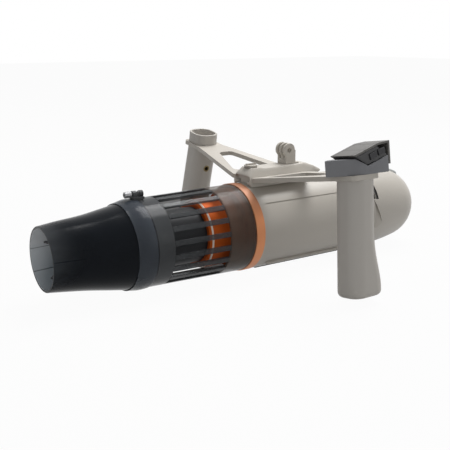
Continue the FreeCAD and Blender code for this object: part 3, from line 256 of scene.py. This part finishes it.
def liner_plastic(name):
    """Inside of the smoke nozzle, with painted light near the outlet, painted shade deeper in and a
    painted highlight on its upper part.
    """
    # painted light and shade of the inner wall: pale near the outlet, dark deep inside, and a
    # near-white painted highlight colour
    pale = (0.70, 0.78, 0.84)
    dark = (0.012, 0.015, 0.018)
    painted_highlight_colour = (0.95, 0.97, 1.0)
    line_grey = (0.10, 0.12, 0.14)
    finish = Finish(name)
    haze = finish.cloud(22 * MM, 2.0)
    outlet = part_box("nozzle")[0].x
    edge = finish.along("X") + 8 * MM * finish.cloud(14 * MM, 1.0)
    depth = finish.between(edge, outlet + 26 * MM, outlet + 38 * MM)
    tone = finish.colours(depth, pale, dark)
    # painted highlight: the upper part of the inner wall turns half way to near-white
    painted_highlight_band = finish.between(finish.along("Z"), AXIS + 4 * MM, AXIS + 9 * MM)
    tone = finish.colours(painted_highlight_band * 0.5, tone, painted_highlight_colour)
    # two dark grey lines along X on the inner wall, at these heights
    dark_lengthwise_lines = finish.groove("Z", AXIS + 3.5 * MM, 0.7 * MM) + finish.groove("Z", AXIS - 17 * MM, 0.7 * MM)
    tone = finish.colours(dark_lengthwise_lines * 0.8, tone, line_grey)
    return finish.shade(tone, 0.16 + 0.12 * haze, relief=haze, depth=0.05 * MM,
                        Alpha=0.60 + 0.30 * depth, Specular_IOR_Level=0.4)


def dark_plastic(name, colour, roughness, grain=0.7 * MM, depth=0.04 * MM):
    """Moulded plastic or rubber with an even leather-like grain and greyed wear."""
    finish = Finish(name)
    grains = finish.add("ShaderNodeTexVoronoi", None, {"Vector": finish.spot, "Scale": 1 / grain})
    dust = finish.cloud(18 * MM, 4.0)
    tone = finish.colours(dust, scaled(colour, 0.88), scaled(colour, 1.16))
    return finish.shade(tone, roughness - 0.05 + 0.12 * dust, relief=grains + 0.3 * dust,
                        depth=depth, Specular_IOR_Level=0.4)


def panelled_plastic(name, colour, grooves):
    """Grained plastic with fine panel grooves at places along X or Y."""
    finish = Finish(name)
    grains = finish.cloud(0.5 * MM, 3.0)
    dust = finish.cloud(18 * MM, 4.0)
    cuts = [finish.groove(letter, place, 0.45 * MM) for letter, place in grooves]
    cut = cuts[0]
    for other in cuts[1:]:
        cut = cut.maths("MAXIMUM", cut, other)
    tone = finish.colours(dust, scaled(colour, 0.9), scaled(colour, 1.12))
    tone = finish.colours(0.7 * cut, tone, scaled(colour, 0.15))
    return finish.shade(tone, 0.48 + 0.12 * dust, relief=grains - 8 * cut, depth=0.04 * MM,
                        Specular_IOR_Level=0.4)


def printed_board(name):
    """Green circuit board with fine tracks and bright pads."""
    green = (0.01, 0.09, 0.03)
    other_green = (0.012, 0.11, 0.035)
    track = (0.03, 0.22, 0.08)
    tin = (0.55, 0.52, 0.45)
    finish = Finish(name)
    tracks = finish.add("ShaderNodeTexBrick", {"offset": 0.37}, {
        "Vector": finish.spot, "Scale": 1.0, "Brick Width": 9 * MM, "Row Height": 1.6 * MM,
        "Mortar Size": 0.16 * MM, "Color1": solid(green), "Color2": solid(other_green),
        "Mortar": solid(track)})
    dots = finish.add("ShaderNodeTexVoronoi", None, {"Vector": finish.spot, "Scale": 1 / (5 * MM)})
    pads = finish.between(dots, 0.16, 0.2, 1.0, 0.0)
    return finish.shade(finish.colours(pads, tracks, tin), 0.4 - 0.1 * pads, 0.9 * pads,
                        relief=pads, depth=0.05 * MM)


# Metals
def turned_metal(name, colour, roughness, metallic=1.0, rim=None, top=None, gloss=0.5):
    """Lathe-turned metal: fine rings round the jet's axis, a bright cut rim if given, and painted shade
    darkening the top if a top span is given.
    """
    finish = Finish(name)
    stain = finish.cloud(16 * MM, 4.0)
    rings = finish.cloud(0.5 * MM, 2.0, (1, 0.02, 0.02))
    tone = finish.colours(stain, scaled(colour, 0.88), scaled(colour, 1.08))
    if top:
        # painted shade: the colour darkens towards the top, between the two given heights
        painted_top_shade = finish.between(finish.along("Z"), top[0], top[1])
        tone = finish.colours(painted_top_shade, tone, scaled(colour, 0.42))
    if rim:
        place = finish.along("X")
        cut = finish.between(place, rim[0], rim[0] + 0.3 * MM)
        cut = cut * finish.between(place, rim[1], rim[1] + 0.3 * MM, 1.0, 0.0)
        bright = (0.75, 0.66, 0.58)
        tone = finish.colours(cut, tone, bright)
    return finish.shade(tone, roughness - 0.06 + 0.12 * stain + 0.05 * rings, metallic,
                        relief=rings, depth=0.01 * MM, Specular_IOR_Level=gloss)


def cast_metal(name, colour, roughness):
    """Cast and painted metal with a pebbled skin."""
    finish = Finish(name)
    pebble = finish.cloud(0.8 * MM, 3.0)
    stain = finish.cloud(20 * MM, 3.0)
    tone = finish.colours(stain, scaled(colour, 0.85), scaled(colour, 1.15))
    return finish.shade(tone, roughness + 0.1 * stain, 0.2, relief=pebble, depth=0.06 * MM,
                        Specular_IOR_Level=0.2)


def stacked_steel(name):
    """Thin steel sheets stacked along the axis."""
    gap_grey = (0.16, 0.16, 0.17)
    steel = (0.34, 0.34, 0.36)
    finish = Finish(name)
    sheets = finish.bands(0.5 * MM, "X", 0.0)
    stain = finish.cloud(9 * MM, 3.0)
    tone = finish.colours(sheets, gap_grey, steel)
    return finish.shade(tone, 0.35 + 0.2 * stain, 0.9, relief=sheets, depth=0.08 * MM)


def wound_wire(name):
    """Varnished copper wire wound side by side."""
    varnish = (0.16, 0.045, 0.012)
    copper = (0.62, 0.25, 0.09)
    finish = Finish(name)
    turns = finish.bands(0.7 * MM, "DIAGONAL", 2.0)
    tone = finish.colours(turns, varnish, copper)
    return finish.shade(tone, 0.3 + 0.1 * turns, 0.85, relief=turns, depth=0.2 * MM)


def wrapped_cells(name):
    """Blue film shrunk over steel cells, with bare patches."""
    film_blue = (0.02, 0.09, 0.30)
    steel = (0.5, 0.5, 0.5)
    finish = Finish(name)
    crinkle = finish.cloud(4 * MM, 3.0)
    bare = finish.between(finish.cloud(12 * MM, 0.0, (1, 0.1, 0.1)), 0.66, 0.68)
    tone = finish.colours(bare, film_blue, steel)
    return finish.shade(tone, 0.25 + 0.2 * crinkle, 0.8 * bare, relief=crinkle, depth=0.06 * MM)


def floor_finish():
    """Plain pale floor, white to the camera, that still takes the object's shadow."""
    darker = (0.43, 0.43, 0.43)
    lighter = (0.47, 0.47, 0.47)
    finish = Finish("pale_floor")
    tone = finish.colours(finish.cloud(0.7, 2.0), darker, lighter)
    diffuse = finish.add("ShaderNodeBsdfDiffuse", None, {"Color": tone})
    glow = finish.add("ShaderNodeEmission", None, {"Color": WHITE, "Strength": 1.0})
    share = FLOOR_GLOW * finish.straight_rays()
    return finish.ended(finish.add("ShaderNodeMixShader", None, {0: share, 1: diffuse, 2: glow}))


# Finishes for the frame's material slots
SHELL = (0.45, 0.42, 0.375)
cover_low, cover_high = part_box("remote_cover")
cover_span = cover_high - cover_low
cover_grooves = [("Y", cover_low.y + 0.16 * cover_span.y), ("Y", cover_low.y + 0.84 * cover_span.y),
                 ("X", cover_low.x + 0.30 * cover_span.x), ("X", cover_low.x + 0.62 * cover_span.x)]
rear_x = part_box("nozzle")[0].x
joint_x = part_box("nozzle")[1].x
cup_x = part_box("motor_mount")[0].x
ring_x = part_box("coupling_ring")[0].x
finishes = {
    "hull_plastic": shell_plastic("hull_plastic", SHELL, 0.37),
    "nose_plastic": shell_plastic("nose_plastic", SHELL, 0.31),
    "bridge_plastic": shell_plastic("bridge_plastic", scaled(SHELL, 1.06), 0.46),
    "knob_plastic": shell_plastic("knob_plastic", scaled(SHELL, 1.02), 0.40),
    "grip_plastic": shell_plastic("grip_plastic", (0.46, 0.435, 0.40), 0.48),
    "cradle_plastic": dark_plastic("cradle_plastic", (0.175, 0.178, 0.188), 0.5),
    "remote_plastic": dark_plastic("remote_plastic", (0.030, 0.030, 0.031), 0.42, 0.5 * MM),
    "cover_plastic": panelled_plastic("cover_plastic", (0.115, 0.11, 0.103), cover_grooves),
    "key_rubber": dark_plastic("key_rubber", (0.022, 0.022, 0.024), 0.6, 0.4 * MM),
    "latch_plastic": dark_plastic("latch_plastic", (0.05, 0.048, 0.045), 0.5),
    "button_rubber": dark_plastic("button_rubber", (0.47, 0.485, 0.48), 0.45, 0.6 * MM, 0.01 * MM),
    "keel_rubber": dark_plastic("keel_rubber", (0.045, 0.045, 0.046), 0.75, 1.2 * MM, 0.08 * MM),
    "seal_rubber": dark_plastic("seal_rubber", (0.02, 0.02, 0.02), 0.65, 0.8 * MM),
    "propeller_plastic": dark_plastic("propeller_plastic", (0.035, 0.036, 0.04), 0.35, 0.9 * MM),
    "bracket_plastic": dark_plastic("bracket_plastic", (0.022, 0.023, 0.025), 0.4),
    "plug_plastic": dark_plastic("plug_plastic", (0.03, 0.03, 0.03), 0.5),
    "holder_plastic": dark_plastic("holder_plastic", (0.06, 0.06, 0.065), 0.5),
    "sleeve_plastic": dark_plastic("sleeve_plastic", (0.10, 0.10, 0.105), 0.4),
    "smoke_plastic": smoke_plastic("smoke_plastic", front=0.62, rear=0.86, start=joint_x + 12 * MM,
                                   end=joint_x + 50 * MM, colour=(0.052, 0.055, 0.058)),
    "band_plastic": smoke_plastic("band_plastic", front=0.66, rear=0.66, start=joint_x, end=ring_x,
                                  colour=(0.050, 0.058, 0.070), seam=joint_x),
    # the ring's top is darkened here as painted shade, between these heights
    "copper_metal": turned_metal("copper_metal", (0.66, 0.26, 0.11), 0.46, metallic=0.35,
                                 top=(AXIS + 12 * MM, AXIS + 38 * MM)),
    "bright_steel": turned_metal("bright_steel", (0.22, 0.22, 0.225), 0.3),
    "motor_metal": cast_metal("motor_metal", (0.016, 0.017, 0.019), 0.42),
    "insert_brass": turned_metal("insert_brass", (0.30, 0.24, 0.13), 0.42),
    "core_steel": stacked_steel("core_steel"),
    "winding_wire": wound_wire("winding_wire"),
    "board_plastic": printed_board("board_plastic"),
    "cell_metal": wrapped_cells("cell_metal"),
}
# Finishes for single nodes
hood_finish = smoke_plastic("smoke_hood", front=0.52, rear=0.60, start=ring_x - 34 * MM,
                            end=ring_x - 15 * MM, colour=(0.095, 0.074, 0.060))
nozzle_finish = smoke_plastic("smoke_nozzle", front=0.975, rear=0.74, start=rear_x,
                              end=rear_x + 34 * MM, colour=(0.005, 0.0065, 0.009), gloss=0.06)
liner_finish = liner_plastic("smoke_liner")
# the cup's copper is deeper and darker than the ring's: partly its own tone, partly painted shade
# inside the grille
cup_finish_with_painted_shade = turned_metal("cup_metal", (0.46, 0.085, 0.010), 0.5, metallic=0.3, gloss=0.12,
                          rim=(cup_x + 1.8 * MM, cup_x + 3.2 * MM))

slot_of = {part["node"]: part["material_slot"] for part in frame["record"]["subparts"]}
for node_name, cad_part in frame["nodes"].items():
    cad_part.data.materials.clear()
    cad_part.data.materials.append(finishes[slot_of[node_name]])


# Pieces
def finished(bm, name, body, slot, materials=None, edge=0.0, angle=32, stands_for=()):
    """Turns a mesh into a piece with its finish, rounds its edges and lets it ride on its body."""
    mesh = bpy.data.meshes.new(name)
    bm.to_mesh(mesh)
    bm.free()
    for extra in [a.name for a in mesh.attributes if a.name.startswith("custom")]:
        mesh.attributes.remove(mesh.attributes[extra])
    for material in materials or [finishes[slot]]:
        mesh.materials.append(material)
    mesh.shade_smooth()
    mesh.set_sharp_from_angle(angle=math.radians(angle))
    piece = bpy.data.objects.new(name, mesh)
    scene.collection.objects.link(piece)
    if edge:
        rounding = piece.modifiers.new("rounded_edges", "BEVEL")
        rounding.limit_method = "ANGLE"
        rounding.angle_limit = math.radians(angle)
        rounding.width = edge * MM
        rounding.segments = 2
        rounding.harden_normals = True
        rounding.use_clamp_overlap = True
    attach(piece, body)
    if stands_for:
        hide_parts(*stands_for)
    return piece


def merged(node):
    """A copy of a CAD node's mesh with its triangles joined into faces."""
    bm = bmesh.new()
    bm.from_mesh(frame["nodes"][node].data)
    bmesh.ops.remove_doubles(bm, verts=bm.verts, dist=WELD)
    bmesh.ops.dissolve_limit(bm, angle_limit=math.radians(FLAT_ANGLE), verts=bm.verts, edges=bm.edges)
    for face in bm.faces:
        face.material_index = 0
    return bm


def rounded_shell(node, edge, materials=None):
    """The node's own form with rounded edges."""
    body = frame["nodes"][node]["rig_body"]
    return finished(merged(node), node + "_shell", body, slot_of[node], materials, edge,
                    stands_for=[node])


def cut_across(bm, place, normal, drop=False):
    """Cuts all faces along a plane, and drops what lies behind it if told so."""
    bmesh.ops.bisect_plane(bm, geom=list(bm.verts) + list(bm.edges) + list(bm.faces),
                           dist=CUT_SLACK, plane_co=place, plane_no=normal, clear_inner=drop)


def softened(node, cell, rounds, sharp_at):
    """The node's form cut into cells, in millimetres, and smoothed, but for where others move."""
    bm = merged(node)
    low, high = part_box(node)
    for axis in range(3):
        count = int((high[axis] - low[axis]) / (cell * MM))
        normal = Vector([float(axis == other) for other in range(3)])
        for step in range(1, count):
            cut_across(bm, low + (high - low) * step / count, normal)
    margin = Vector((cell, cell, cell)) * MM
    kept = [(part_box(other)[0] - margin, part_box(other)[1] + margin) for other in sharp_at]
    loose = [vert for vert in bm.verts
             if not any(all(lowest[axis] <= vert.co[axis] <= highest[axis] for axis in range(3))
                        for lowest, highest in kept)]
    for _ in range(rounds):
        bmesh.ops.smooth_vert(bm, verts=loose, factor=0.5, use_axis_x=True, use_axis_y=True,
                              use_axis_z=True)
    return finished(bm, node + "_shell", frame["nodes"][node]["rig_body"], slot_of[node],
                    angle=50, stands_for=[node])


# Width of the rounding of each node's edges, in millimetres
ROUNDED = {
    "main_housing": 0.6, "coupling_ring": 0.5, "motor_mount": 0.5, "intake_collar": 0.4,
    "intake_bars": 0.6, "port_arm": 0.6, "starboard_arm": 0.6, "grip_collar": 0.5,
    "camera_mount": 0.5, "remote_cradle": 0.6, "remote_cover": 0.4, "rear_key": 0.25,
    "front_key": 0.25, "lock_knob": 0.4, "port_latch": 0.3, "starboard_latch": 0.3,
    "skid_ribs": 0.5, "keel_strip": 0.4, "propeller": 0.2, "propeller_nut": 0.3,
    "flow_straightener": 0.2, "motor_can": 0.5, "bridge_rail": 0.3,
}
for node_name, edge in ROUNDED.items():
    chosen = [cup_finish_with_painted_shade] if node_name == "motor_mount" else None
    rounded_shell(node_name, edge, chosen)
rounded_shell("intake_hood", 0.5, [hood_finish])


def spun(profile):
    """A closed side view in x and radius, spun round the jet's axis."""
    bm = bmesh.new()
    corners = [bm.verts.new((x, 0, AXIS + radius)) for x, radius in profile]
    edges = [bm.edges.new(pair) for pair in zip(corners, corners[1:] + corners[:1])]
    bmesh.ops.spin(bm, geom=corners + edges, cent=(0, 0, AXIS), axis=(1, 0, 0),
                   angle=2 * math.pi, steps=SPIN_STEPS, use_merge=True)
    bmesh.ops.remove_doubles(bm, verts=bm.verts, dist=WELD)
    bmesh.ops.recalc_face_normals(bm, faces=bm.faces)
    return bm


def smooth_run(points):
    """Points along a smooth curve through the given ones."""
    run = []
    padded = [points[0]] + list(points) + [points[-1]]
    for before, start, end, after in zip(padded, padded[1:], padded[2:], padded[3:]):
        for step in range(CURVE_STEPS):
            t = step / CURVE_STEPS
            run.append(tuple(0.5 * (2 * b + (c - a) * t + (2 * a - 5 * b + 4 * c - d) * t * t
                                    + (3 * b - a - 3 * c + d) * t ** 3)
                             for a, b, c, d in zip(before, start, end, after)))
    return run + [tuple(points[-1])]


# Outside of the nozzle: distance from the outlet and radius, in millimetres
NOZZLE_SIDE = [(0.0, 30.3), (34.6, 34.79), (62.28, 39.54), (86.5, 43.5), (96.5, 43.2)]
NOZZLE_WALL = 2.4
# A face whose normal leans this far to the axis is on the inner wall
INNER_LEAN = -0.3
# Depth of the hollow in the nozzle's back, and from where to where it sets in and ends again
BACK_DIP = 1.8
DIP_START = (12.0, 55.0)
DIP_END = (72.0, 92.0)
# Clear band: its gap to the nozzle, its thickness, and how far its rear edge closes in
BAND_GAP = 0.12
BAND_COVER = 0.6
BAND_CLOSE = 0.1


def eased(value, low, high):
    """From 0 below the low value to 1 above the high one."""
    part = min(1.0, max(0.0, (value - low) / (high - low)))
    return part * part * (3 - 2 * part)


def hollow_back(bm):
    """Lets the top of the nozzle, or of the band on it, sink a little where the real one does."""
    for vert in bm.verts:
        along = (vert.co.x - rear_x) / MM
        upward = (vert.co.z - AXIS) / math.hypot(vert.co.y, vert.co.z - AXIS)
        dip = eased(along, *DIP_START) - eased(along, *DIP_END)
        vert.co.z -= BACK_DIP * MM * max(0.0, upward) * dip


def nozzle_shell():
    """The nozzle, its lip rounded and its back a little hollow, with its inner wall in painted light
    and shade.
    """
    side = smooth_run([(rear_x + x * MM, r * MM) for x, r in NOZZLE_SIDE])
    inside = [(x, r - NOZZLE_WALL * MM) for x, r in reversed(side)]
    bm = spun(side + inside)
    hollow_back(bm)
    for face in bm.faces:
        centre = face.calc_center_median() - Vector((0, 0, AXIS))
        outward = Vector((0, centre.y, centre.z))
        if face.normal.dot(outward) < INNER_LEAN * outward.length:
            face.material_index = 1
    return finished(bm, "nozzle_shell", "nozzle", "smoke_plastic",
                    [nozzle_finish, liner_finish], edge=0.7, angle=40, stands_for=["nozzle"])


# Finger slots of the nose: place along X, turn up from the side in degrees, and depth
SLOT_PLACE = (144.8, 148.8)
SLOT_TURN = (22, 52)
SLOT_DEPTH = 1.2
# Rounding of the nose's rim, and how near to the rim and how sharp an edge of it is
RIM_ROUNDING = 0.4
RIM_NEAR = 0.1
RIM_SHARP = 0.6
BUTTON_LIFT = 0.15


def finger_slots(bm):
    """A slot let into each side of the nose, its walls near-black as painted shade."""
    for place in SLOT_PLACE:
        cut_across(bm, (place * MM, 0, AXIS), (1, 0, 0))
    for turn in SLOT_TURN:
        for side in (1, -1):
            across = (0, -side * math.sin(math.radians(turn)), math.cos(math.radians(turn)))
            cut_across(bm, (0, 0, AXIS), across)
    for side in (1, -1):
        chosen = []
        for face in bm.faces:
            centre = face.calc_center_median()
            turn = math.degrees(math.atan2(centre.z - AXIS, side * centre.y))
            outward = Vector((0, centre.y, centre.z - AXIS)).normalized()
            inside = (SLOT_PLACE[0] * MM < centre.x < SLOT_PLACE[1] * MM
                      and SLOT_TURN[0] < turn < SLOT_TURN[1])
            if inside and face.normal.dot(outward) > 0.5:
                chosen.append(face)
        walls = bmesh.ops.extrude_face_region(bm, geom=chosen)["geom"]
        bmesh.ops.delete(bm, geom=chosen, context="FACES_ONLY")
        for item in walls:
            if isinstance(item, bmesh.types.BMVert):
                inward = Vector((0, -item.co.y, AXIS - item.co.z)).normalized()
                item.co += SLOT_DEPTH * MM * inward
                # painted shade: the slot's walls take the near-black latch finish
                for face in item.link_faces:
                    face.material_index = 1


def nose():
    """The nose with its finger slots, its open rim rounded and its pockets left as cut."""
    bm = merged("nose_cap")
    finger_slots(bm)
    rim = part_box("nose_cap")[0].x
    edges = [edge for edge in bm.edges if edge.is_convex and edge.calc_face_angle(0) > RIM_SHARP
             and all(abs(vert.co.x - rim) < RIM_NEAR * MM for vert in edge.verts)]
    bmesh.ops.bevel(bm, geom=edges, offset=RIM_ROUNDING * MM, segments=2, profile=0.5, affect="EDGES",
                    material=-1, clamp_overlap=True)
    # the second finish, the near-black latch plastic, is painted shade in the finger slots
    return finished(bm, "nose_cap_shell", "nose", "nose_plastic",
                    [finishes["nose_plastic"], finishes["latch_plastic"]],
                    stands_for=["nose_cap"])


def button():
    """The power button, a hair clear of the nose when it is pressed."""
    bm = merged("power_button")
    sole = min(bm.faces, key=lambda face: face.normal.z)
    bmesh.ops.translate(bm, verts=sole.verts, vec=-BUTTON_LIFT * MM * sole.normal)
    return finished(bm, "power_button_shell", "power_button", "button_rubber", edge=0.4,
                    stands_for=["power_button"])


def clamp_band():
    """The clear band on the nozzle's shoulder, following it just outside up to its full width."""
    low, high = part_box("clamp_band")
    radius = (high.y - low.y) / 2
    side = [(rear_x + x * MM, r * MM) for x, r in NOZZLE_SIDE]
    inside = [(x, r + BAND_GAP * MM) for x, r in smooth_run(side) if low.x < x < high.x]
    inside = [(low.x, inside[0][1] - BAND_CLOSE * MM)] + inside + [(high.x, inside[-1][1])]
    outside = [(x, min(radius, r + BAND_COVER * MM)) for x, r in reversed(inside)]
    bm = spun(inside + outside)
    hollow_back(bm)
    return finished(bm, "clamp_band_shell", "nozzle", "band_plastic", edge=0.25, angle=40,
                    stands_for=["clamp_band"])


# Clamp screw: shares of its length and radius, then its knurls and rim in millimetres
HEAD_SHARE = 0.55
SOCKET_RADIUS = 0.55
SOCKET_DEPTH = 0.3
SHANK_RADIUS = 0.5
KNURL_EDGE = 0.05
KNURL_DEPTH = 0.14
HEAD_RIM = 0.45
RIM_RISE = 0.25


def clamp_screw():
    """Knurled screw head with a six-sided socket, pointing to the rear."""
    low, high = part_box("clamp_screw")
    radius = (high.y - low.y) / 2
    length = high.x - low.x
    bm = bmesh.new()
    bmesh.ops.create_cone(bm, cap_ends=True, segments=48, radius1=radius, radius2=radius,
                          depth=HEAD_SHARE * length)
    top = max(bm.faces, key=lambda face: face.calc_center_median().z)
    sides = [face for face in bm.faces if abs(face.normal.z) < 0.5][::2]
    bmesh.ops.inset_individual(bm, faces=sides, thickness=KNURL_EDGE * MM,
                               depth=-KNURL_DEPTH * MM)
    bmesh.ops.inset_region(bm, faces=[top], thickness=HEAD_RIM * MM, depth=RIM_RISE * MM)
    rim = list(top.edges)
    bmesh.ops.delete(bm, geom=[top], context="FACES_ONLY")
    socket = bmesh.ops.create_circle(bm, segments=6, radius=SOCKET_RADIUS * radius)["verts"]
    level = rim[0].verts[0].co.z
    bmesh.ops.translate(bm, verts=socket, vec=(0, 0, level))
    hexagon = list({edge for vert in socket for edge in vert.link_edges})
    bmesh.ops.bridge_loops(bm, edges=rim + hexagon)
    walls = bmesh.ops.extrude_edge_only(bm, edges=hexagon)["geom"]
    deep = [item for item in walls if isinstance(item, bmesh.types.BMVert)]
    bmesh.ops.translate(bm, verts=deep, vec=(0, 0, -SOCKET_DEPTH * length))
    bmesh.ops.contextual_create(bm, geom=deep)
    thin = SHANK_RADIUS * radius
    shank = bmesh.ops.create_cone(bm, cap_ends=True, segments=24, radius1=thin, radius2=thin,
                                  depth=(1 - HEAD_SHARE) * length)["verts"]
    bmesh.ops.translate(bm, verts=shank, vec=(0, 0, -length / 2))
    bmesh.ops.recalc_face_normals(bm, faces=bm.faces)
    bmesh.ops.rotate(bm, verts=bm.verts, cent=(0, 0, 0),
                     matrix=Matrix.Rotation(-math.pi / 2, 3, "Y"))
    bmesh.ops.translate(bm, verts=bm.verts,
                        vec=(low.x + HEAD_SHARE / 2 * length, 0, (low.z + high.z) / 2))
    return finished(bm, "clamp_screw_head", "clamp_screw", "bright_steel", edge=0.12, angle=40,
                    stands_for=["clamp_screw"])


# Foot of a hand grip: its rounding, the straight piece before it and the steps of the rounding
FOOT_ROUNDING = 5 * MM
FOOT_STRAIGHT = 1 * MM
FOOT_STEPS = 7


def grip(node):
    """A hand grip with a rounded foot in place of its plain one."""
    bm = merged(node)
    sole = max((face for face in bm.faces if face.normal.z < -0.9), key=lambda face: face.calc_area())
    up = -sole.normal
    cut = sole.calc_center_median() + (FOOT_ROUNDING + FOOT_STRAIGHT) * up
    cut_across(bm, cut, up, drop=True)
    rim = [edge for edge in bm.edges if edge.is_boundary]
    corners = {vert for edge in rim for vert in edge.verts}
    centre = sum((vert.co for vert in corners), Vector()) / len(corners)
    turns = [math.pi / 2 * step / FOOT_STEPS for step in range(FOOT_STEPS + 1)]
    moves = [(FOOT_STRAIGHT, 0.0)]
    for before, after in zip(turns, turns[1:]):
        moves.append((FOOT_ROUNDING * (math.sin(after) - math.sin(before)),
                      FOOT_ROUNDING * (math.cos(before) - math.cos(after))))
    for drop, inset in moves:
        added = bmesh.ops.extrude_edge_only(bm, edges=rim)["geom"]
        rim = [item for item in added if isinstance(item, bmesh.types.BMEdge)]
        for vert in (item for item in added if isinstance(item, bmesh.types.BMVert)):
            inward = centre - vert.co
            inward = (inward - inward.dot(up) * up).normalized()
            vert.co = vert.co - drop * up + inset * inward
    bmesh.ops.edgeloop_fill(bm, edges=rim)
    bmesh.ops.recalc_face_normals(bm, faces=bm.faces)
    return finished(bm, node + "_shell", "bridge", "grip_plastic", edge=0.4, angle=40,
                    stands_for=[node])


# Clamp bracket: strips round its nut and how far every other one is let in, the foot's share of
# the height, and where its lug and its washer start and end, in millimetres
NUT_STRIPS = 36
STRIP_EDGE = 0.08
STRIP_DEPTH = 0.25
FOOT_SHARE = 0.3
LUG_SPAN = (0.0, 4.2)
WASHER_SPAN = (6.0, 7.2)


def ribbed_disc(bm, start, end, radius, height):
    """A round nut on the screw's axis, every other strip of its side let in."""
    disc = bmesh.ops.create_cone(bm, cap_ends=True, segments=NUT_STRIPS, radius1=radius,
                                 radius2=radius, depth=end - start)["verts"]
    bmesh.ops.rotate(bm, verts=disc, cent=(0, 0, 0), matrix=Matrix.Rotation(math.pi / 2, 3, "Y"))
    bmesh.ops.translate(bm, verts=disc, vec=((start + end) / 2, 0, height))
    strips = sorted({face for vert in disc for face in vert.link_faces if len(face.verts) == 4},
                    key=lambda face: math.atan2(face.calc_center_median().y,
                                                face.calc_center_median().z - height))
    bmesh.ops.inset_individual(bm, faces=strips[::2], thickness=STRIP_EDGE * MM,
                               depth=-STRIP_DEPTH * MM)


def lug(bm, start, end, radius, height, foot):
    """A round-topped lug across the screw, down to its foot."""
    arch = bmesh.ops.create_circle(bm, cap_ends=True, segments=32, radius=radius)["verts"]
    bmesh.ops.rotate(bm, verts=arch, cent=(0, 0, 0), matrix=Matrix.Rotation(math.pi / 2, 3, "Y"))
    for vert in arch:
        if vert.co.z < -0.1 * radius:
            vert.co.z = foot - height
    bmesh.ops.translate(bm, verts=arch, vec=(start, 0, height))
    side = bmesh.ops.extrude_face_region(bm, geom=list(arch[0].link_faces))["geom"]
    moved = [item for item in side if isinstance(item, bmesh.types.BMVert)]
    bmesh.ops.translate(bm, verts=moved, vec=(end - start, 0, 0))


def clamp_bracket():
    """Foot on the band, a lug with the screw through it and a ribbed nut before it."""
    low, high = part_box("clamp_bracket")
    height = middle("clamp_screw").z
    reach = high.z - height
    bm = bmesh.new()
    foot = bmesh.ops.create_cube(bm, size=1.0)["verts"]
    thick = FOOT_SHARE * (high.z - low.z)
    bmesh.ops.scale(bm, verts=foot, vec=(high.x - low.x, high.y - low.y, thick))
    bmesh.ops.translate(bm, verts=foot, vec=(middle("clamp_bracket").x, 0, low.z + thick / 2))
    for (start, end), radius in ((LUG_SPAN, reach), (WASHER_SPAN, 0.8 * reach)):
        lug(bm, low.x + start * MM, low.x + end * MM, radius, height, low.z)
    ribbed_disc(bm, low.x + WASHER_SPAN[1] * MM, high.x, reach, height)
    bmesh.ops.recalc_face_normals(bm, faces=bm.faces)
    return finished(bm, "clamp_bracket_lugs", "nozzle", "bracket_plastic", edge=0.3, angle=40,
                    stands_for=["clamp_bracket"])


softened("bridge_saddle", cell=1.8, rounds=9, sharp_at=["lock_knob"])
softened("remote_body", cell=1.5, rounds=4, sharp_at=["rear_key", "front_key"])
nose()
button()
nozzle_shell()
clamp_band()
clamp_screw()
clamp_bracket()
grip("port_grip")
grip("starboard_grip")


# Floor, lamps and camera
CAMERA_PLACE = (-0.44915, -0.6177, 0.2412)
CAMERA_AIM = (0.543, 0.802, -0.248)
CAMERA_LENS = 59.3
CAMERA_SENSOR = 36.0
DAYLIGHT = 0.33
LAMP_TARGET = (0, 0, 0.06)
# Place and width in metres and power in watts
LAMPS = {
    "high_lamp": ((0.65, 0.20, 1.35), 0.9, 25.0),
    "front_fill": ((0.9, -1.3, 0.5), 0.8, 1.5),
    "side_fill": ((-1.1, -0.9, 0.5), 0.9, 2.0),
}


def floor():
    """A wide flat floor."""
    bm = bmesh.new()
    bmesh.ops.create_grid(bm, x_segments=4, y_segments=4, size=6.0)
    mesh = bpy.data.meshes.new("floor")
    bm.to_mesh(mesh)
    bm.free()
    mesh.materials.append(floor_finish())
    ground = bpy.data.objects.new("floor", mesh)
    scene.collection.objects.link(ground)


def lamp(name, place, size, power):
    """A soft square lamp that points at the object."""
    light = bpy.data.lights.new(name, "AREA")
    light.size = size
    light.energy = power
    stand = bpy.data.objects.new(name, light)
    stand.location = place
    stand.rotation_euler = (Vector(LAMP_TARGET) - Vector(place)).to_track_quat("-Z", "Y").to_euler()
    scene.collection.objects.link(stand)


def daylight():
    """Even light all round, seen as white by the camera and by gloss and glass."""
    world = bpy.data.worlds.new("studio")
    tree = Tree(world)
    level = DAYLIGHT + (1 - DAYLIGHT) * tree.straight_rays()
    sky = tree.add("ShaderNodeBackground", None, {"Color": WHITE, "Strength": level})
    tree.add("ShaderNodeOutputWorld", None, {"Surface": sky})
    scene.world = world


def camera():
    """The camera at the photograph's place."""
    eye = bpy.data.cameras.new("camera")
    eye.lens = CAMERA_LENS
    eye.sensor_width = CAMERA_SENSOR
    stand = bpy.data.objects.new("camera", eye)
    stand.location = CAMERA_PLACE
    stand.rotation_euler = Vector(CAMERA_AIM).to_track_quat("-Z", "Y").to_euler()
    scene.collection.objects.link(stand)
    scene.camera = stand


floor()
daylight()
for lamp_name, (place, size, power) in LAMPS.items():
    lamp(lamp_name, place, size, power)
camera()
